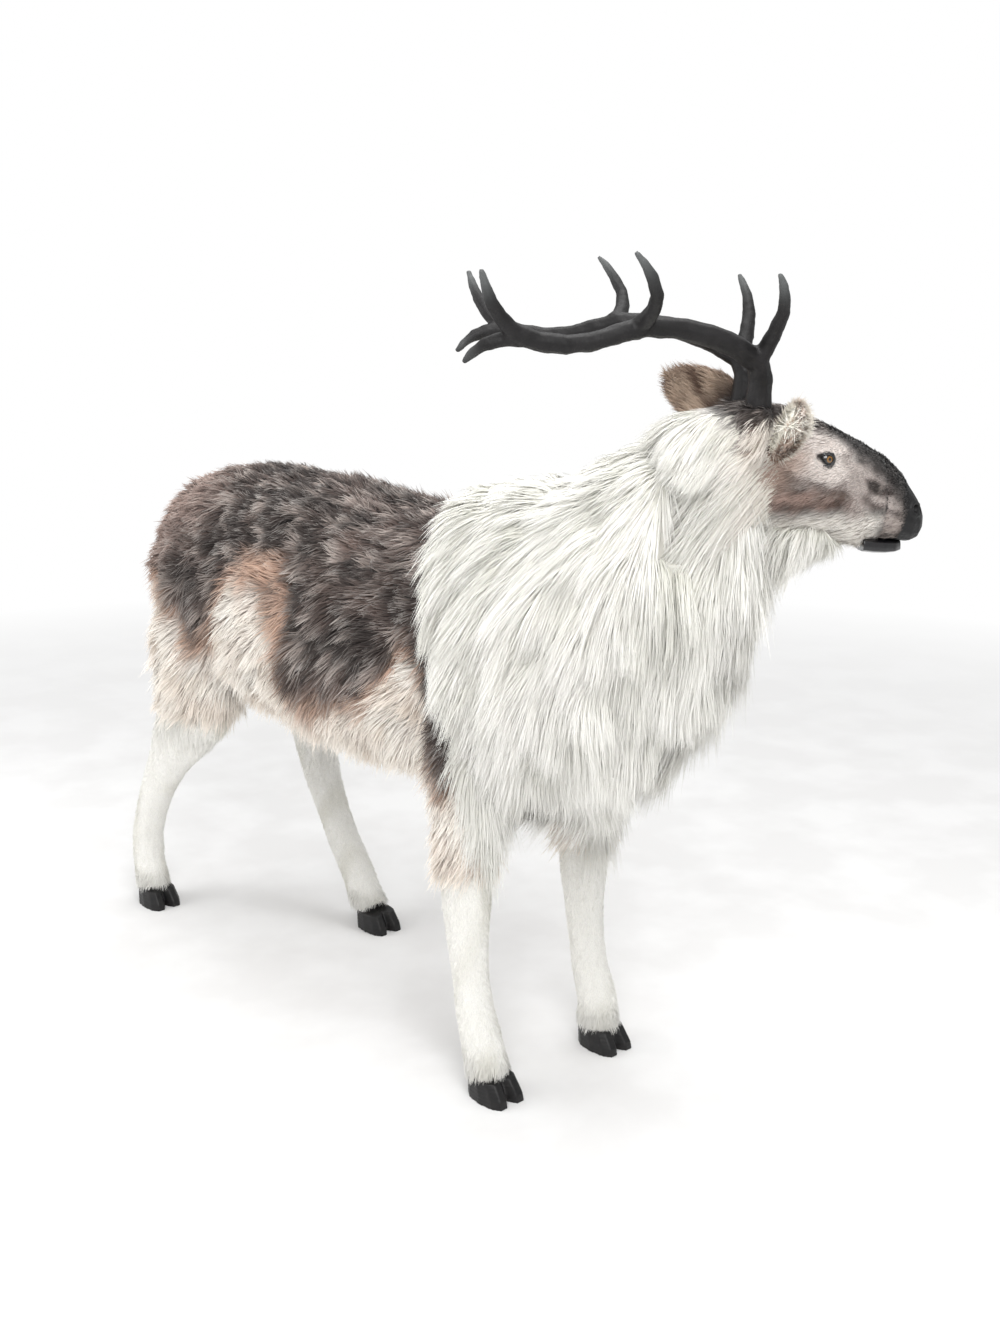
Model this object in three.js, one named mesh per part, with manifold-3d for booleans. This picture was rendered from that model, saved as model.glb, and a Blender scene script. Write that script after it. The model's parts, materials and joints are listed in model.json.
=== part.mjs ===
// A life-size standing display reindeer: welded steel armature, carved foam forms, sewn faux-fur
// covers, cast resin hooves, muzzle and lift-off antlers, wired ears and a head that turns by hand.
//
// Units are millimetres. +X points to the animal's front, +Y to its left and +Z up. While it is
// modelled, the origin is on the floor midway between the front hooves. The last lines move the
// finished model so that its origin is the centre of its bounding box, at floor level.

import * as THREE from 'three';
import { mergeVertices } from 'three/addons/utils/BufferGeometryUtils.js';
import Module from 'manifold-3d';

const wasm = await Module();
wasm.setup();

// ---------------------------------------------------------------- driving dimensions

const bodyLength = 1220;        // front hoof line to rump; the body outlines are drawn for 1220
const backHeight = 1100;        // floor to the middle of the back; drawn for 1100
const bodyWidth = 420;          // across the ribs; drawn for 420
const headLength = 380;         // back of the skull to the nose; drawn for 380
const antlerLength = 445;       // antler base to rear tips; drawn for 445

const seat = 0.3;               // gap between pieces that touch
const softSeat = 0.8;           // gap between a sewn cover and the foam under it
const coverThickness = 10;      // body and mane cover: backing and the dense foot of the pile
const sleeveThickness = 4;      // short-pile fabric on the legs and head
const turnClearance = 2.5;      // running gap between the neck stub and the hollow in the head

const spineTube = 30;           // square steel tube
const spineHeight = backHeight - 260;   // centre of the spine tube
const socketRadius = 14;        // sockets on the cross tubes that hold the leg rods
const socketHeight = 70;
const rodRadius = 8;            // steel rod in each leg
const rodIntoHoof = 20;
const rodSetback = 22;          // rod and bolt behind the middle of the hoof
const boltRadius = 4;
const boltLength = 34;
const boltHeadRadius = 8;
const boltHeadHeight = 5;

const hoofLength = 112;
const hoofWidth = 88;
const hoofHeight = 43;
const frontTrack = 297;         // between the centres of the front hooves
const hindTrack = 316;

const neckTubeRadius = 15;
const neckTubeBore = 12;        // radius of the bore that holds the bush
const neckTubeInsert = 60;      // length of neck tube inside the spine tube
const bushLength = 60;
const stemRadius = 9;           // steel stem under the head
const stemClearance = 0.4;
const stemPlateRadius = 28;
const stemPlateThickness = 4;
const washerThickness = 3;

// The head's turning axis; its z is the neck stub's shoulder.
const headAxis = new THREE.Vector3(390, 0, backHeight + 95);
const headYaw = 51;             // degrees to the animal's left, at rest
const stubRadius = 60;          // neck stub inside the head
const stubTop = 55;             // height of its domed top
const napeRadius = 86;          // overhang of the skull behind the axis

const antlerSpacing = 50;       // half the distance between the antler bases
const antlerSetback = 10;       // antler bases behind the middle of the brow
const pegRadius = 7;
const pegClearance = 0.4;
const pegInAntler = 32;
const pegInSocket = 42;
const socketWall = 4;

const eyeRadius = 15;
const lidThickness = 3;
const earLength = 155;
const earWidth = 92;
const earDepth = 50;
const earWireRadius = 2;
const earBallRadius = 5;        // ball end of the ear wire, in a socket in the skull
const earSwing = 50;            // degrees that an ear swings on its ball

// ---------------------------------------------------------------- solids

const V = (x, y, z) => new THREE.Vector3(x, y, z);
const degrees = THREE.MathUtils.degToRad;

function solid(geometry) {
  const bare = geometry.clone();
  bare.deleteAttribute('normal');
  bare.deleteAttribute('uv');
  const merged = mergeVertices(bare, 1e-4);
  return new wasm.Manifold(new wasm.Mesh({
    numProp: 3,
    vertProperties: new Float32Array(merged.attributes.position.array),
    triVerts: new Uint32Array(merged.index.array),
  }));
}

const flatness = 0.1;           // facets that differ by less than this are merged

function geometryOf(manifold) {
  const mesh = manifold.simplify(flatness).getMesh();
  const geometry = new THREE.BufferGeometry();
  geometry.setAttribute('position', new THREE.BufferAttribute(mesh.vertProperties, 3));
  geometry.setIndex(new THREE.BufferAttribute(mesh.triVerts, 1));
  geometry.computeVertexNormals();
  return geometry;
}

// A closed skin over rings that all have the same number of points.
function loftOver(rings) {
  const sides = rings[0].length;
  const points = rings.flat();
  const faces = [];
  for (let r = 0; r + 1 < rings.length; r++) {
    for (let s = 0; s < sides; s++) {
      const a = r * sides + s;
      const b = r * sides + (s + 1) % sides;
      faces.push(a, b, b + sides, a, b + sides, a + sides);
    }
  }
  const last = (rings.length - 1) * sides;
  for (let s = 1; s + 1 < sides; s++) {
    faces.push(0, s + 1, s, last, last + s, last + s + 1);
  }
  const geometry = new THREE.BufferGeometry();
  geometry.setAttribute('position', new THREE.Float32BufferAttribute(points.flatMap((p) => p.toArray()), 3));
  geometry.setIndex(faces);
  return solid(geometry);
}

// An oval ring about a centre. The exponent is 2 for an ellipse and more for a squarer section.
function ovalRing(centre, across, upward, halfWidth, halfHeight, sides, exponent = 2) {
  const ring = [];
  for (let s = 0; s < sides; s++) {
    const angle = (2 * Math.PI * (s + 0.5)) / sides;
    const c = Math.cos(angle);
    const h = Math.sin(angle);
    const w = Math.sign(c) * Math.abs(c) ** (2 / exponent) * halfWidth;
    const v = Math.sign(h) * Math.abs(h) ** (2 / exponent) * halfHeight;
    ring.push(centre.clone().addScaledVector(across, w).addScaledVector(upward, v));
  }
  return ring;
}

// Smooths a list of stations, each an array of numbers, into more stations.
function refine(stations, count) {
  const columns = stations[0].length;
  const curves = [];
  for (let c = 0; c < columns; c++) {
    curves.push(new THREE.CatmullRomCurve3(stations.map((row, i) => V(row[c], i, 0)), false, 'catmullrom', 0.5));
  }
  return Array.from({ length: count }, (_, i) => curves.map((curve) => curve.getPoint(i / (count - 1)).x));
}

// A limb: oval rings square to a smooth path. Stations are [x, y, z, fore-aft radius, side radius].
function limb(stations, count, sides, grow = 0) {
  const rows = refine(stations, count);
  const rings = rows.map((row, i) => {
    const before = rows[Math.max(i - 1, 0)];
    const after = rows[Math.min(i + 1, rows.length - 1)];
    const along = V(after[0] - before[0], after[1] - before[1], after[2] - before[2]).normalize();
    const side = V(0, 1, 0).addScaledVector(along, -along.y).normalize();
    const fore = new THREE.Vector3().crossVectors(side, along).normalize();
    return ovalRing(V(row[0], row[1], row[2]), fore, side, row[3] + grow, row[4] + grow, sides);
  });
  const made = loftOver(rings);
  return made.volume() < 0 ? loftOver(rings.map((ring) => ring.reverse())) : made;
}

// What is left of a trimmed piece once loose scraps are dropped.
function mainBody(manifold) {
  return manifold.decompose().sort((a, b) => b.volume() - a.volume())[0];
}

function rodAlong(points, radius, sides = 8, steps = 24) {
  const curve = new THREE.CatmullRomCurve3(points, false, 'catmullrom', 0.5);
  const section = new THREE.Shape().absarc(0, 0, radius, 0, 2 * Math.PI);
  const extrude = new THREE.ExtrudeGeometry(section, { steps, extrudePath: curve, curveSegments: sides });
  return solid(extrude);
}

function cylinder(radiusBottom, radiusTop, height, centre, sides = 20) {
  const geometry = new THREE.CylinderGeometry(radiusTop, radiusBottom, height, sides);
  geometry.rotateX(Math.PI / 2);
  geometry.translate(centre.x, centre.y, centre.z);
  return solid(geometry);
}

function block(sizeX, sizeY, sizeZ, centre) {
  const geometry = new THREE.BoxGeometry(sizeX, sizeY, sizeZ);
  geometry.translate(centre.x, centre.y, centre.z);
  return solid(geometry);
}

function ellipsoid(radii, centre, wide = 16, high = 10) {
  const geometry = new THREE.SphereGeometry(1, wide, high);
  geometry.rotateX(Math.PI / 2);
  geometry.scale(radii.x, radii.y, radii.z);
  geometry.translate(centre.x, centre.y, centre.z);
  return solid(geometry);
}

const huge = 4000;
const above = (z) => block(huge, huge, huge, V(0, 0, z + huge / 2));
const below = (z) => block(huge, huge, huge, V(0, 0, z - huge / 2));
const aheadOf = (x) => block(huge, huge, huge, V(x + huge / 2, 0, 0));

// ---------------------------------------------------------------- materials

const materials = {
  steel: { color: 0x8a8d90, roughness: 0.45, metalness: 0.9 },
  zinc: { color: 0xa9acad, roughness: 0.4, metalness: 0.9 },
  foam: { color: 0xd9cfa8, roughness: 0.95, metalness: 0 },
  nylon: { color: 0xe9e7df, roughness: 0.5, metalness: 0 },
  coat: { color: 0x5d5049, roughness: 1, metalness: 0 },
  mane: { color: 0xeeebdf, roughness: 1, metalness: 0 },
  velvet: { color: 0xdad9d0, roughness: 1, metalness: 0 },
  face: { color: 0x8c7a70, roughness: 1, metalness: 0 },
  hoof: { color: 0x0d0d0e, roughness: 0.35, metalness: 0 },
  antler: { color: 0x17171a, roughness: 0.55, metalness: 0 },
  muzzle: { color: 0x0a0a0b, roughness: 0.3, metalness: 0 },
  eye: { color: 0x3a220c, roughness: 0.05, metalness: 0 },
  lining: { color: 0xe8dfd6, roughness: 1, metalness: 0 },
};

const model = new THREE.Group();

function add(name, manifold, finish, parent = model) {
  const mesh = new THREE.Mesh(geometryOf(manifold), new THREE.MeshStandardMaterial(materials[finish]));
  mesh.name = name;
  parent.add(mesh);
  return mesh;
}

// ---------------------------------------------------------------- body outline

const lengthwise = bodyLength / 1220;
const upright = backHeight / 1100;
const sideways = bodyWidth / 420;

// [x, top, bottom, half width] of the trunk, over the cover.
const trunkStations = [
  [-1220, 902, 815, 42],
  [-1207, 950, 762, 88],
  [-1177, 996, 712, 130],
  [-1132, 1036, 668, 160],
  [-1062, 1071, 628, 185],
  [-940, 1096, 598, 200],
  [-780, 1102, 576, 206],
  [-600, 1094, 558, 212],
  [-440, 1074, 550, 213],
  [-290, 1072, 560, 208],
  [-140, 1098, 574, 198],
  [-20, 1110, 590, 182],
  [90, 1090, 640, 150],
];

function trunk(grow) {
  const rows = refine(trunkStations, 16);
  const rings = rows.map(([x, top, bottom, half], i) => {
    const end = (i === 0 ? -grow : 0) + (i === rows.length - 1 ? grow : 0);
    const centre = V(x * lengthwise + end, 0, ((top + bottom) / 2) * upright);
    const tall = ((top - bottom) / 2) * upright + grow;
    return ovalRing(centre, V(0, 1, 0), V(0, 0, 1), half * sideways + grow, tall, 18, 2.25);
  });
  return loftOver(rings);
}

// ---------------------------------------------------------------- legs

const frontCut = 455 * upright;     // where the leg sleeves start
const hindCut = 560 * upright;

// [x, z, fore-aft radius, side radius] down the middle of each leg; x is from the hoof's centre.
const frontLeg = [
  [-100, 820, 84, 60],
  [-96, 690, 88, 62],
  [-88, 590, 80, 57],
  [-80, 510, 66, 50],
  [-77, 440, 56, 46],
  [-76, 385, 55, 44],
  [-76, 330, 47, 39],
  [-70, 260, 39, 35],
  [-62, 200, 36, 34],
  [-50, 145, 39, 36],
  [-30, 90, 42, 38],
  [-14, hoofHeight, 42, 38],
];
const stretchedLeg = [
  [193, 850, 135, 66],
  [222, 740, 150, 78],
  [246, 640, 140, 72],
  [222, 560, 118, 62],
  [160, 480, 84, 48],
  [98, 405, 61, 41],
  [44, 330, 49, 37],
  [0, 255, 42, 35],
  [-30, 185, 42, 35],
  [-36, 115, 46, 36],
  [-18, hoofHeight, 45, 37],
];
const gatheredLeg = [
  [-287, 850, 135, 66],
  [-252, 740, 148, 76],
  [-240, 640, 130, 68],
  [-245, 560, 104, 60],
  [-246, 470, 78, 48],
  [-228, 390, 61, 41],
  [-200, 315, 51, 38],
  [-166, 250, 43, 36],
  [-126, 185, 42, 36],
  [-74, 118, 45, 36],
  [-26, hoofHeight, 45, 37],
];

const legs = [
  { name: 'front_right', side: -1, hoofX: 6, track: frontTrack, cut: frontCut, path: frontLeg, lean: 40, swing: 0 },
  { name: 'front_left', side: 1, hoofX: 6, track: frontTrack, cut: frontCut, path: frontLeg, lean: 40, swing: 14 },
  { name: 'hind_right', side: -1, hoofX: -1232, track: hindTrack, cut: hindCut, path: stretchedLeg, lean: 52, swing: 0 },
  { name: 'hind_left', side: 1, hoofX: -752, track: hindTrack, cut: hindCut, path: gatheredLeg, lean: 52, swing: 0 },
];

// The legs stand upright from the cut down, and lean in towards the spine above it. Swing moves
// a leg forward between its hoof and its socket.
function legStations(leg) {
  const highest = leg.path[0][1];
  const drawnCut = leg.cut / upright;
  return leg.path.map(([x, z, fore, side]) => {
    const lean = Math.max(0, (z - drawnCut) / (highest - drawnCut)) * leg.lean;
    const height = z <= hoofHeight ? z : z * upright;
    const swing = z > hoofHeight && z < highest ? leg.swing : 0;
    return [(leg.hoofX + x + swing) * lengthwise, leg.side * (leg.track / 2 - lean), height, fore, side];
  });
}

const legShape = (leg, grow) => limb(legStations(leg), 11, 10, grow);

function rodPath(leg) {
  const foot = V(leg.hoofX * lengthwise - rodSetback, leg.side * leg.track / 2, hoofHeight);
  const straightFrom = hoofHeight + 25;
  const points = legStations(leg).map(([x, y, z]) => V(x, y, z)).filter((p) => p.z > straightFrom + 15);
  points[0].setZ(spineHeight + socketHeight / 2 + 5);
  points.push(foot.clone().setZ(straightFrom), foot.clone().setZ(hoofHeight + seat));
  return points;
}

const socketCentre = (leg) => rodPath(leg)[0].clone().setZ(spineHeight);

// ---------------------------------------------------------------- neck outline

// [x, z, tilt, half depth, half width] from the shoulders to the head, over the mane cover.
const neckStations = [
  [-175, 862, 0, 274, 196],
  [-60, 862, 6, 280, 204],
  [30, 880, 14, 280, 204],
  [115, 924, 27, 256, 188],
  [190, 984, 37, 224, 166],
  [252, 1050, 43, 192, 146],
  [302, 1108, 46, 162, 128],
  [342, 1152, 48, 134, 110],
  [376, 1186, 50, 104, 90],
];

function neckTrunk(grow) {
  const rows = refine(neckStations, 12);
  const rings = rows.map(([x, z, tilt, depth, half], i) => {
    const end = (i === 0 ? -grow : 0) + (i === rows.length - 1 ? grow : 0);
    const upward = V(-Math.sin(degrees(tilt)), 0, Math.cos(degrees(tilt)));
    const forward = V(upward.z, 0, -upward.x);
    const centre = V(x, 0, z * upright).addScaledVector(forward, end);
    return ovalRing(centre, V(0, 1, 0), upward, half * sideways + grow, depth + grow, 16, 2.1);
  });
  return loftOver(rings);
}

// A round stub on the turning axis, with a domed top, that the head turns on.
const stubFoot = headAxis.z - 150;

function neckStub(grow) {
  const column = cylinder(stubRadius + grow, stubRadius + grow, headAxis.z - stubFoot,
    V(headAxis.x, headAxis.y, (headAxis.z + stubFoot) / 2), 16);
  return column.add(ellipsoid(V(stubRadius + grow, stubRadius + grow, stubTop + grow), headAxis, 16, 8));
}

// The space that the head sweeps as it turns: over the nape, and ahead of the neck.
const napeFloor = headAxis.z + stubTop - 8;
const jawFloor = headAxis.z - 128;
const cheekPlane = headAxis.x - 44;
const cheekSweep = 82;          // how far the rear of the cheeks reaches from the turning axis

function headRoom() {
  const overNape = cylinder(napeRadius + 4, napeRadius + 4, 400, V(headAxis.x, headAxis.y, napeFloor + 200), 32);
  const cheeks = cylinder(cheekSweep, cheekSweep, 400, V(headAxis.x, headAxis.y, jawFloor + 200), 32);
  const ahead = aheadOf(cheekPlane).intersect(above(jawFloor));
  return overNape.add(cheeks).add(ahead);
}

const neckShape = (grow) => neckTrunk(grow).subtract(headRoom()).add(neckStub(grow));

// ---------------------------------------------------------------- where the coat meets the mane

const collarFoot = -8;          // x of the collar plane at floor height plus 500
const collarSlope = 14;         // degrees that the plane leans back

function behindCollar(shift) {
  const half = block(huge, huge, huge, V(-huge / 2, 0, 0));
  return half.rotate([0, -collarSlope, 0]).translate([collarFoot + shift, 0, 500 * upright]);
}

function aheadOfCollar(shift) {
  const half = block(huge, huge, huge, V(huge / 2, 0, 0));
  return half.rotate([0, -collarSlope, 0]).translate([collarFoot + shift, 0, 500 * upright]);
}

const legTops = (grow) => legs.map((leg) => legShape(leg, grow).intersect(above(leg.cut)));
const bodyShape = (grow) => legTops(grow).reduce((sum, top) => sum.add(top), trunk(grow));

// ---------------------------------------------------------------- armature

const hipX = socketCentre(legs[2]).x;
const shoulderX = socketCentre(legs[0]).x;
const spineFront = shoulderX + 75;
const spigotRadius = 10;
const crossTube = 24;

const neckTubePath = [
  V(spineFront + seat, 0, spineHeight),
  V(spineFront + 24, 0, spineHeight),
  V(spineFront + 70, 0, spineHeight + 14),
  V(headAxis.x * 0.44, 0, spineHeight + (headAxis.z - spineHeight) * 0.19),
  V(headAxis.x * 0.84, 0, spineHeight + (headAxis.z - spineHeight) * 0.42),
  V(headAxis.x, 0, headAxis.z - bushLength - 62),
  V(headAxis.x, 0, headAxis.z - bushLength / 2),
  V(headAxis.x, 0, headAxis.z + stubTop - 26),
];
const neckTubeTop = neckTubePath[neckTubePath.length - 1].z;

function lengthwiseRod(radius, start, end, sides = 12) {
  const geometry = new THREE.CylinderGeometry(radius, radius, end - start, sides);
  geometry.rotateZ(Math.PI / 2);
  geometry.translate((start + end) / 2, 0, spineHeight);
  return solid(geometry);
}

const neckTube = (grow) => rodAlong(neckTubePath, neckTubeRadius + grow, 5, 13);
const spigot = (grow) => lengthwiseRod(spigotRadius + grow, spineFront - neckTubeInsert - grow, spineFront + 8);
const crossBoltX = spineFront - neckTubeInsert / 2;

function crosswise(radius, start, end, sides) {
  const geometry = new THREE.CylinderGeometry(radius, radius, end - start, sides);
  geometry.translate(crossBoltX, (start + end) / 2, spineHeight);
  return solid(geometry);
}

const nutFace = spineTube / 2 + seat;
const nutThickness = 7;
const crossShank = (grow) => crosswise(boltRadius + grow, -nutFace - 3, nutFace + nutThickness + 4, 12);

function buildArmature() {
  let frame = block(spineFront - hipX, spineTube, spineTube, V((spineFront + hipX) / 2, 0, spineHeight));
  for (const pair of [[legs[2], legs[3]], [legs[0], legs[1]]]) {
    const [first, second] = pair.map(socketCentre);
    frame = frame.add(block(crossTube, 2 * Math.abs(first.y), crossTube, V(first.x, 0, spineHeight)));
    frame = frame.add(block(crossTube, 2 * Math.abs(first.y), crossTube, V(second.x, 0, spineHeight)));
    for (const centre of [first, second]) {
      frame = frame.add(cylinder(socketRadius, socketRadius, socketHeight, centre, 12));
    }
  }
  for (const leg of legs) {
    frame = frame.subtract(rod(leg, seat));
  }
  frame = frame.subtract(spigot(seat)).subtract(crossShank(seat));
  add('spine_frame', frame, 'steel');

  const boreTop = V(headAxis.x, 0, neckTubeTop - bushLength / 2 + 0.5);
  const bore = cylinder(neckTubeBore, neckTubeBore, bushLength + 1, boreTop, 16);
  const tube = neckTube(0).add(spigot(0)).subtract(crossShank(seat)).subtract(bore);
  add('neck_tube', tube, 'steel');
  add('neck_tube_bolt', crossShank(0).add(crosswise(7, -nutFace - 6, -nutFace, 6)), 'zinc');
  const nut = crosswise(7, nutFace, nutFace + nutThickness, 6).subtract(crossShank(seat));
  add('neck_tube_nut', nut, 'zinc');

  const bushFoot = neckTubeTop - bushLength + 1;
  const bushMiddle = V(headAxis.x, 0, (bushFoot + neckTubeTop + seat) / 2);
  const sleeve = cylinder(neckTubeBore - seat, neckTubeBore - seat, neckTubeTop + seat - bushFoot, bushMiddle, 16);
  const flangeCentre = V(headAxis.x, 0, neckTubeTop + seat + washerThickness / 2);
  const flange = cylinder(neckTubeRadius, neckTubeRadius, washerThickness, flangeCentre, 16);
  const stemHole = cylinder(stemRadius + stemClearance, stemRadius + stemClearance, 300, bushMiddle, 16);
  add('swivel_bush', sleeve.add(flange).subtract(stemHole), 'nylon');
}

// The frame, tubes and rods leave these channels in the foam.
function armatureSpace() {
  const first = socketCentre(legs[0]);
  const roomy = 2;
  let space = block(spineFront - hipX + roomy, spineTube + roomy, spineTube + roomy,
    V((spineFront + hipX) / 2, 0, spineHeight));
  for (const leg of legs) {
    const centre = socketCentre(leg);
    space = space.add(block(crossTube + roomy, Math.abs(centre.y), crossTube + roomy, V(centre.x, centre.y / 2, spineHeight)));
    space = space.add(cylinder(socketRadius + 1, socketRadius + 1, socketHeight + roomy, centre, 12));
    space = space.add(rod(leg, 1));
  }
  const boltRoom = crosswise(10, -nutFace - 8, nutFace + nutThickness + 6, 8);
  return space.add(neckTube(1)).add(boltRoom);
}

// ---------------------------------------------------------------- trunk and neck

// A bent rod with a straight foot that stands in the hoof.
function rod(leg, grow) {
  const ankle = rodPath(leg).at(-1);
  const top = ankle.z + 12;
  const end = hoofHeight - rodIntoHoof;
  const foot = cylinder(rodRadius + grow, rodRadius + grow, top - end, V(ankle.x, ankle.y, (top + end) / 2), 10);
  return rodAlong(rodPath(leg), rodRadius + grow, 3, 14).add(foot);
}

function buildTrunk() {
  const inner = coverThickness + softSeat;
  const space = armatureSpace();
  const rump = aheadOf(trunkStations[0][0] * lengthwise + inner + 2);
  const form = bodyShape(-inner).intersect(behindCollar(-seat)).intersect(rump).subtract(space);
  const leftHalf = block(huge, huge, huge, V(0, huge / 2 + seat / 2, 0));
  const rightHalf = block(huge, huge, huge, V(0, -huge / 2 - seat / 2, 0));
  add('trunk_form_left', form.intersect(leftHalf), 'foam');
  add('trunk_form_right', form.intersect(rightHalf), 'foam');
  const cover = bodyShape(0).subtract(bodyShape(-coverThickness)).intersect(behindCollar(-seat));
  add('coat_cover', cover, 'coat');

  const chest = neckShape(-inner).add(bodyShape(-inner)).intersect(aheadOfCollar(0)).subtract(space);
  const neckForm = chest.subtract(headRoom().subtract(neckStub(-inner)));
  add('neck_form', neckForm.subtract(tubeTopSpace()), 'foam');
  const outside = neckShape(0).add(bodyShape(0)).subtract(headRoom().subtract(neckStub(0)));
  const inside = neckShape(-coverThickness).add(bodyShape(-coverThickness));
  const kept = inside.subtract(headRoom().subtract(neckStub(-coverThickness)));
  const hole = cylinder(neckTubeRadius + 3, neckTubeRadius + 3, 100, V(headAxis.x, 0, headAxis.z + stubTop), 16);
  const mane = outside.subtract(kept).intersect(aheadOfCollar(0)).subtract(hole);
  add('mane_cover', mane, 'mane');
}

const tubeTopSpace = () => cylinder(neckTubeRadius + 1, neckTubeRadius + 1, 120,
  V(headAxis.x, 0, neckTubeTop + 40), 16);

function buildTail() {
  const root = trunkStations[1];
  const tail = limb([
    [root[0] * lengthwise - 20, 0, 925 * upright, 12, 24],
    [root[0] * lengthwise - 32, 0, 880 * upright, 15, 32],
    [root[0] * lengthwise - 34, 0, 830 * upright, 13, 28],
    [root[0] * lengthwise - 30, 0, 790 * upright, 6, 12],
  ], 6, 8);
  add('tail', tail.subtract(bodyShape(seat)), 'coat');
}

function buildPouch() {
  const centre = V(-905 * lengthwise, 0, 584 * upright);
  add('groin_pouch', mainBody(ellipsoid(V(38, 24, 30), centre, 12, 8).subtract(bodyShape(seat))), 'velvet');
}

// ---------------------------------------------------------------- legs and hooves

function claw(side) {
  const rows = [
    [6, 21, 50, 22.5],
    [4, 20.5, 49, 22],
    [-2, 19.5, 45, 21],
    [-8, 18.5, 40, 20],
  ];
  const long = hoofLength / 112;
  const wide = hoofWidth / 88;
  const rings = rows.map(([x, y, fore, across], i) => ovalRing(
    V(x * long, side * y * wide, (hoofHeight * i) / (rows.length - 1)),
    V(1, 0, 0), V(0, 1, 0), fore * long, across * wide, 10, 2.2));
  return loftOver(rings);
}

function hoofShape() {
  const cleft = new THREE.Shape();
  cleft.moveTo(hoofLength * 0.1, 0);
  cleft.lineTo(hoofLength, -hoofWidth * 0.12);
  cleft.lineTo(hoofLength, hoofWidth * 0.12);
  const wedge = solid(new THREE.ExtrudeGeometry(cleft, { depth: hoofHeight * 2, bevelEnabled: false }));
  return claw(-1).add(claw(1)).subtract(wedge.translate([0, 0, -1]));
}

function buildLegs() {
  for (const leg of legs) {
    const foot = rodPath(leg).at(-1);
    const tip = hoofHeight - rodIntoHoof;
    foot.setZ(tip);
    const tapped = cylinder(boltRadius + seat, boltRadius + seat, 2 * (boltLength - tip + seat), foot, 8);
    add(`leg_rod_${leg.name}`, rod(leg, 0).subtract(tapped), 'steel');

    const inner = sleeveThickness + softSeat;
    const kept = below(leg.cut - seat).intersect(above(hoofHeight + seat));
    const form = legShape(leg, -inner).intersect(kept).subtract(rod(leg, 1));
    add(`leg_form_${leg.name}`, form, 'foam');
    const sleeve = legShape(leg, 0).subtract(legShape(leg, -sleeveThickness)).intersect(kept);
    add(`leg_sleeve_${leg.name}`, sleeve, 'velvet');

    const place = V(leg.hoofX * lengthwise, leg.side * leg.track / 2, 0);
    const local = foot.clone().sub(place);
    const pocket = cylinder(rodRadius + 2 * seat, rodRadius + 2 * seat, hoofHeight, V(local.x, local.y, tip + hoofHeight / 2 - seat), 10);
    const shaft = cylinder(boltRadius + seat, boltRadius + seat, hoofHeight, V(local.x, local.y, hoofHeight / 2), 8);
    const sink = cylinder(boltHeadRadius + 1, boltHeadRadius + 1, 2 * (boltHeadHeight + 2), V(local.x, local.y, 0), 12);
    const hoof = hoofShape().subtract(pocket).subtract(shaft).subtract(sink);
    add(`hoof_${leg.name}`, hoof, 'hoof').position.copy(place);

    const headTop = boltHeadHeight + 2 - seat;
    const shank = cylinder(boltRadius, boltRadius, boltLength - headTop + 1, V(0, 0, (boltLength + headTop - 1) / 2), 8);
    const head = cylinder(boltHeadRadius, boltHeadRadius, boltHeadHeight, V(0, 0, headTop - boltHeadHeight / 2), 12);
    add(`hoof_bolt_${leg.name}`, shank.add(head), 'zinc').position.set(foot.x, foot.y, 0);
  }
}

// ---------------------------------------------------------------- head

// The head is modelled straight ahead, about a point midway between the antlers, and then turned.
const hs = headLength / 380;
const axisInHead = V(-45, 0, -125).multiplyScalar(hs);
const headGroup = new THREE.Group();
headGroup.rotation.z = degrees(headYaw);
const turned = axisInHead.clone().applyAxisAngle(V(0, 0, 1), degrees(headYaw));
headGroup.position.copy(headAxis).sub(turned);
model.add(headGroup);

// [x, top, bottom, half width] of the head, over its cover.
const headStations = [
  [-140, -70, -130, 24],
  [-118, -36, -150, 50],
  [-80, -20, -172, 68],
  [-40, -10, -186, 76],
  [0, -6, -196, 78],
  [50, -12, -204, 77],
  [100, -33, -213, 70],
  [140, -52, -224, 59],
  [174, -69, -231, 51],
];
const snoutStations = [
  [160, -62, -222, 54],
  [205, -88, -222, 46],
  [232, -112, -225, 42],
  [252, -139, -226, 36],
  [266, -160, -220, 26],
  [274, -178, -206, 12],
];
const lipStations = [
  [174.4, -224, -240, 34],
  [200, -228, -243, 31],
  [226, -231, -243, 24],
  [242, -233, -240, 10],
];
const muzzleStart = 205 * hs;
const mouthStart = 174 * hs;

function headLoft(stations, count, grow, sides = 14) {
  const rings = refine(stations, count).map(([x, top, bottom, half], i) => {
    const end = (i === 0 ? -grow : 0) + (i === count - 1 ? grow : 0);
    const centre = V(x * hs + end, 0, ((top + bottom) / 2) * hs);
    return ovalRing(centre, V(0, 1, 0), V(0, 0, 1), half * hs + grow, ((top - bottom) / 2) * hs + grow, sides, 2.2);
  });
  return loftOver(rings);
}

const pedicleTop = -10 * hs;

function pedicle(side, grow) {
  const centre = V(-antlerSetback, side * antlerSpacing, pedicleTop - 25);
  return cylinder(27 + grow, 23 + grow, 50 + 2 * grow, centre, 14);
}

function headHollow() {
  const a = axisInHead;
  const radius = stubRadius + turnClearance;
  const column = cylinder(radius, radius, 300, V(a.x, a.y, a.z - 150), 16);
  const dome = ellipsoid(V(radius, radius, stubTop + turnClearance), a, 16, 8);
  const rear = block(huge, huge, 600, V(a.x + 12 - huge / 2, 0, a.z + stubTop - 4 - 300));
  return column.add(dome).add(rear);
}

function napeLimit() {
  const a = axisInHead;
  const round = cylinder(napeRadius, napeRadius, 600, V(a.x, a.y, 0), 32);
  return round.add(aheadOf(a.x));
}

function headSkin(grow) {
  const skull = headLoft(headStations, 9, grow).add(headLoft(snoutStations, 6, grow));
  return skull.add(pedicle(1, grow)).add(pedicle(-1, grow));
}

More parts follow.
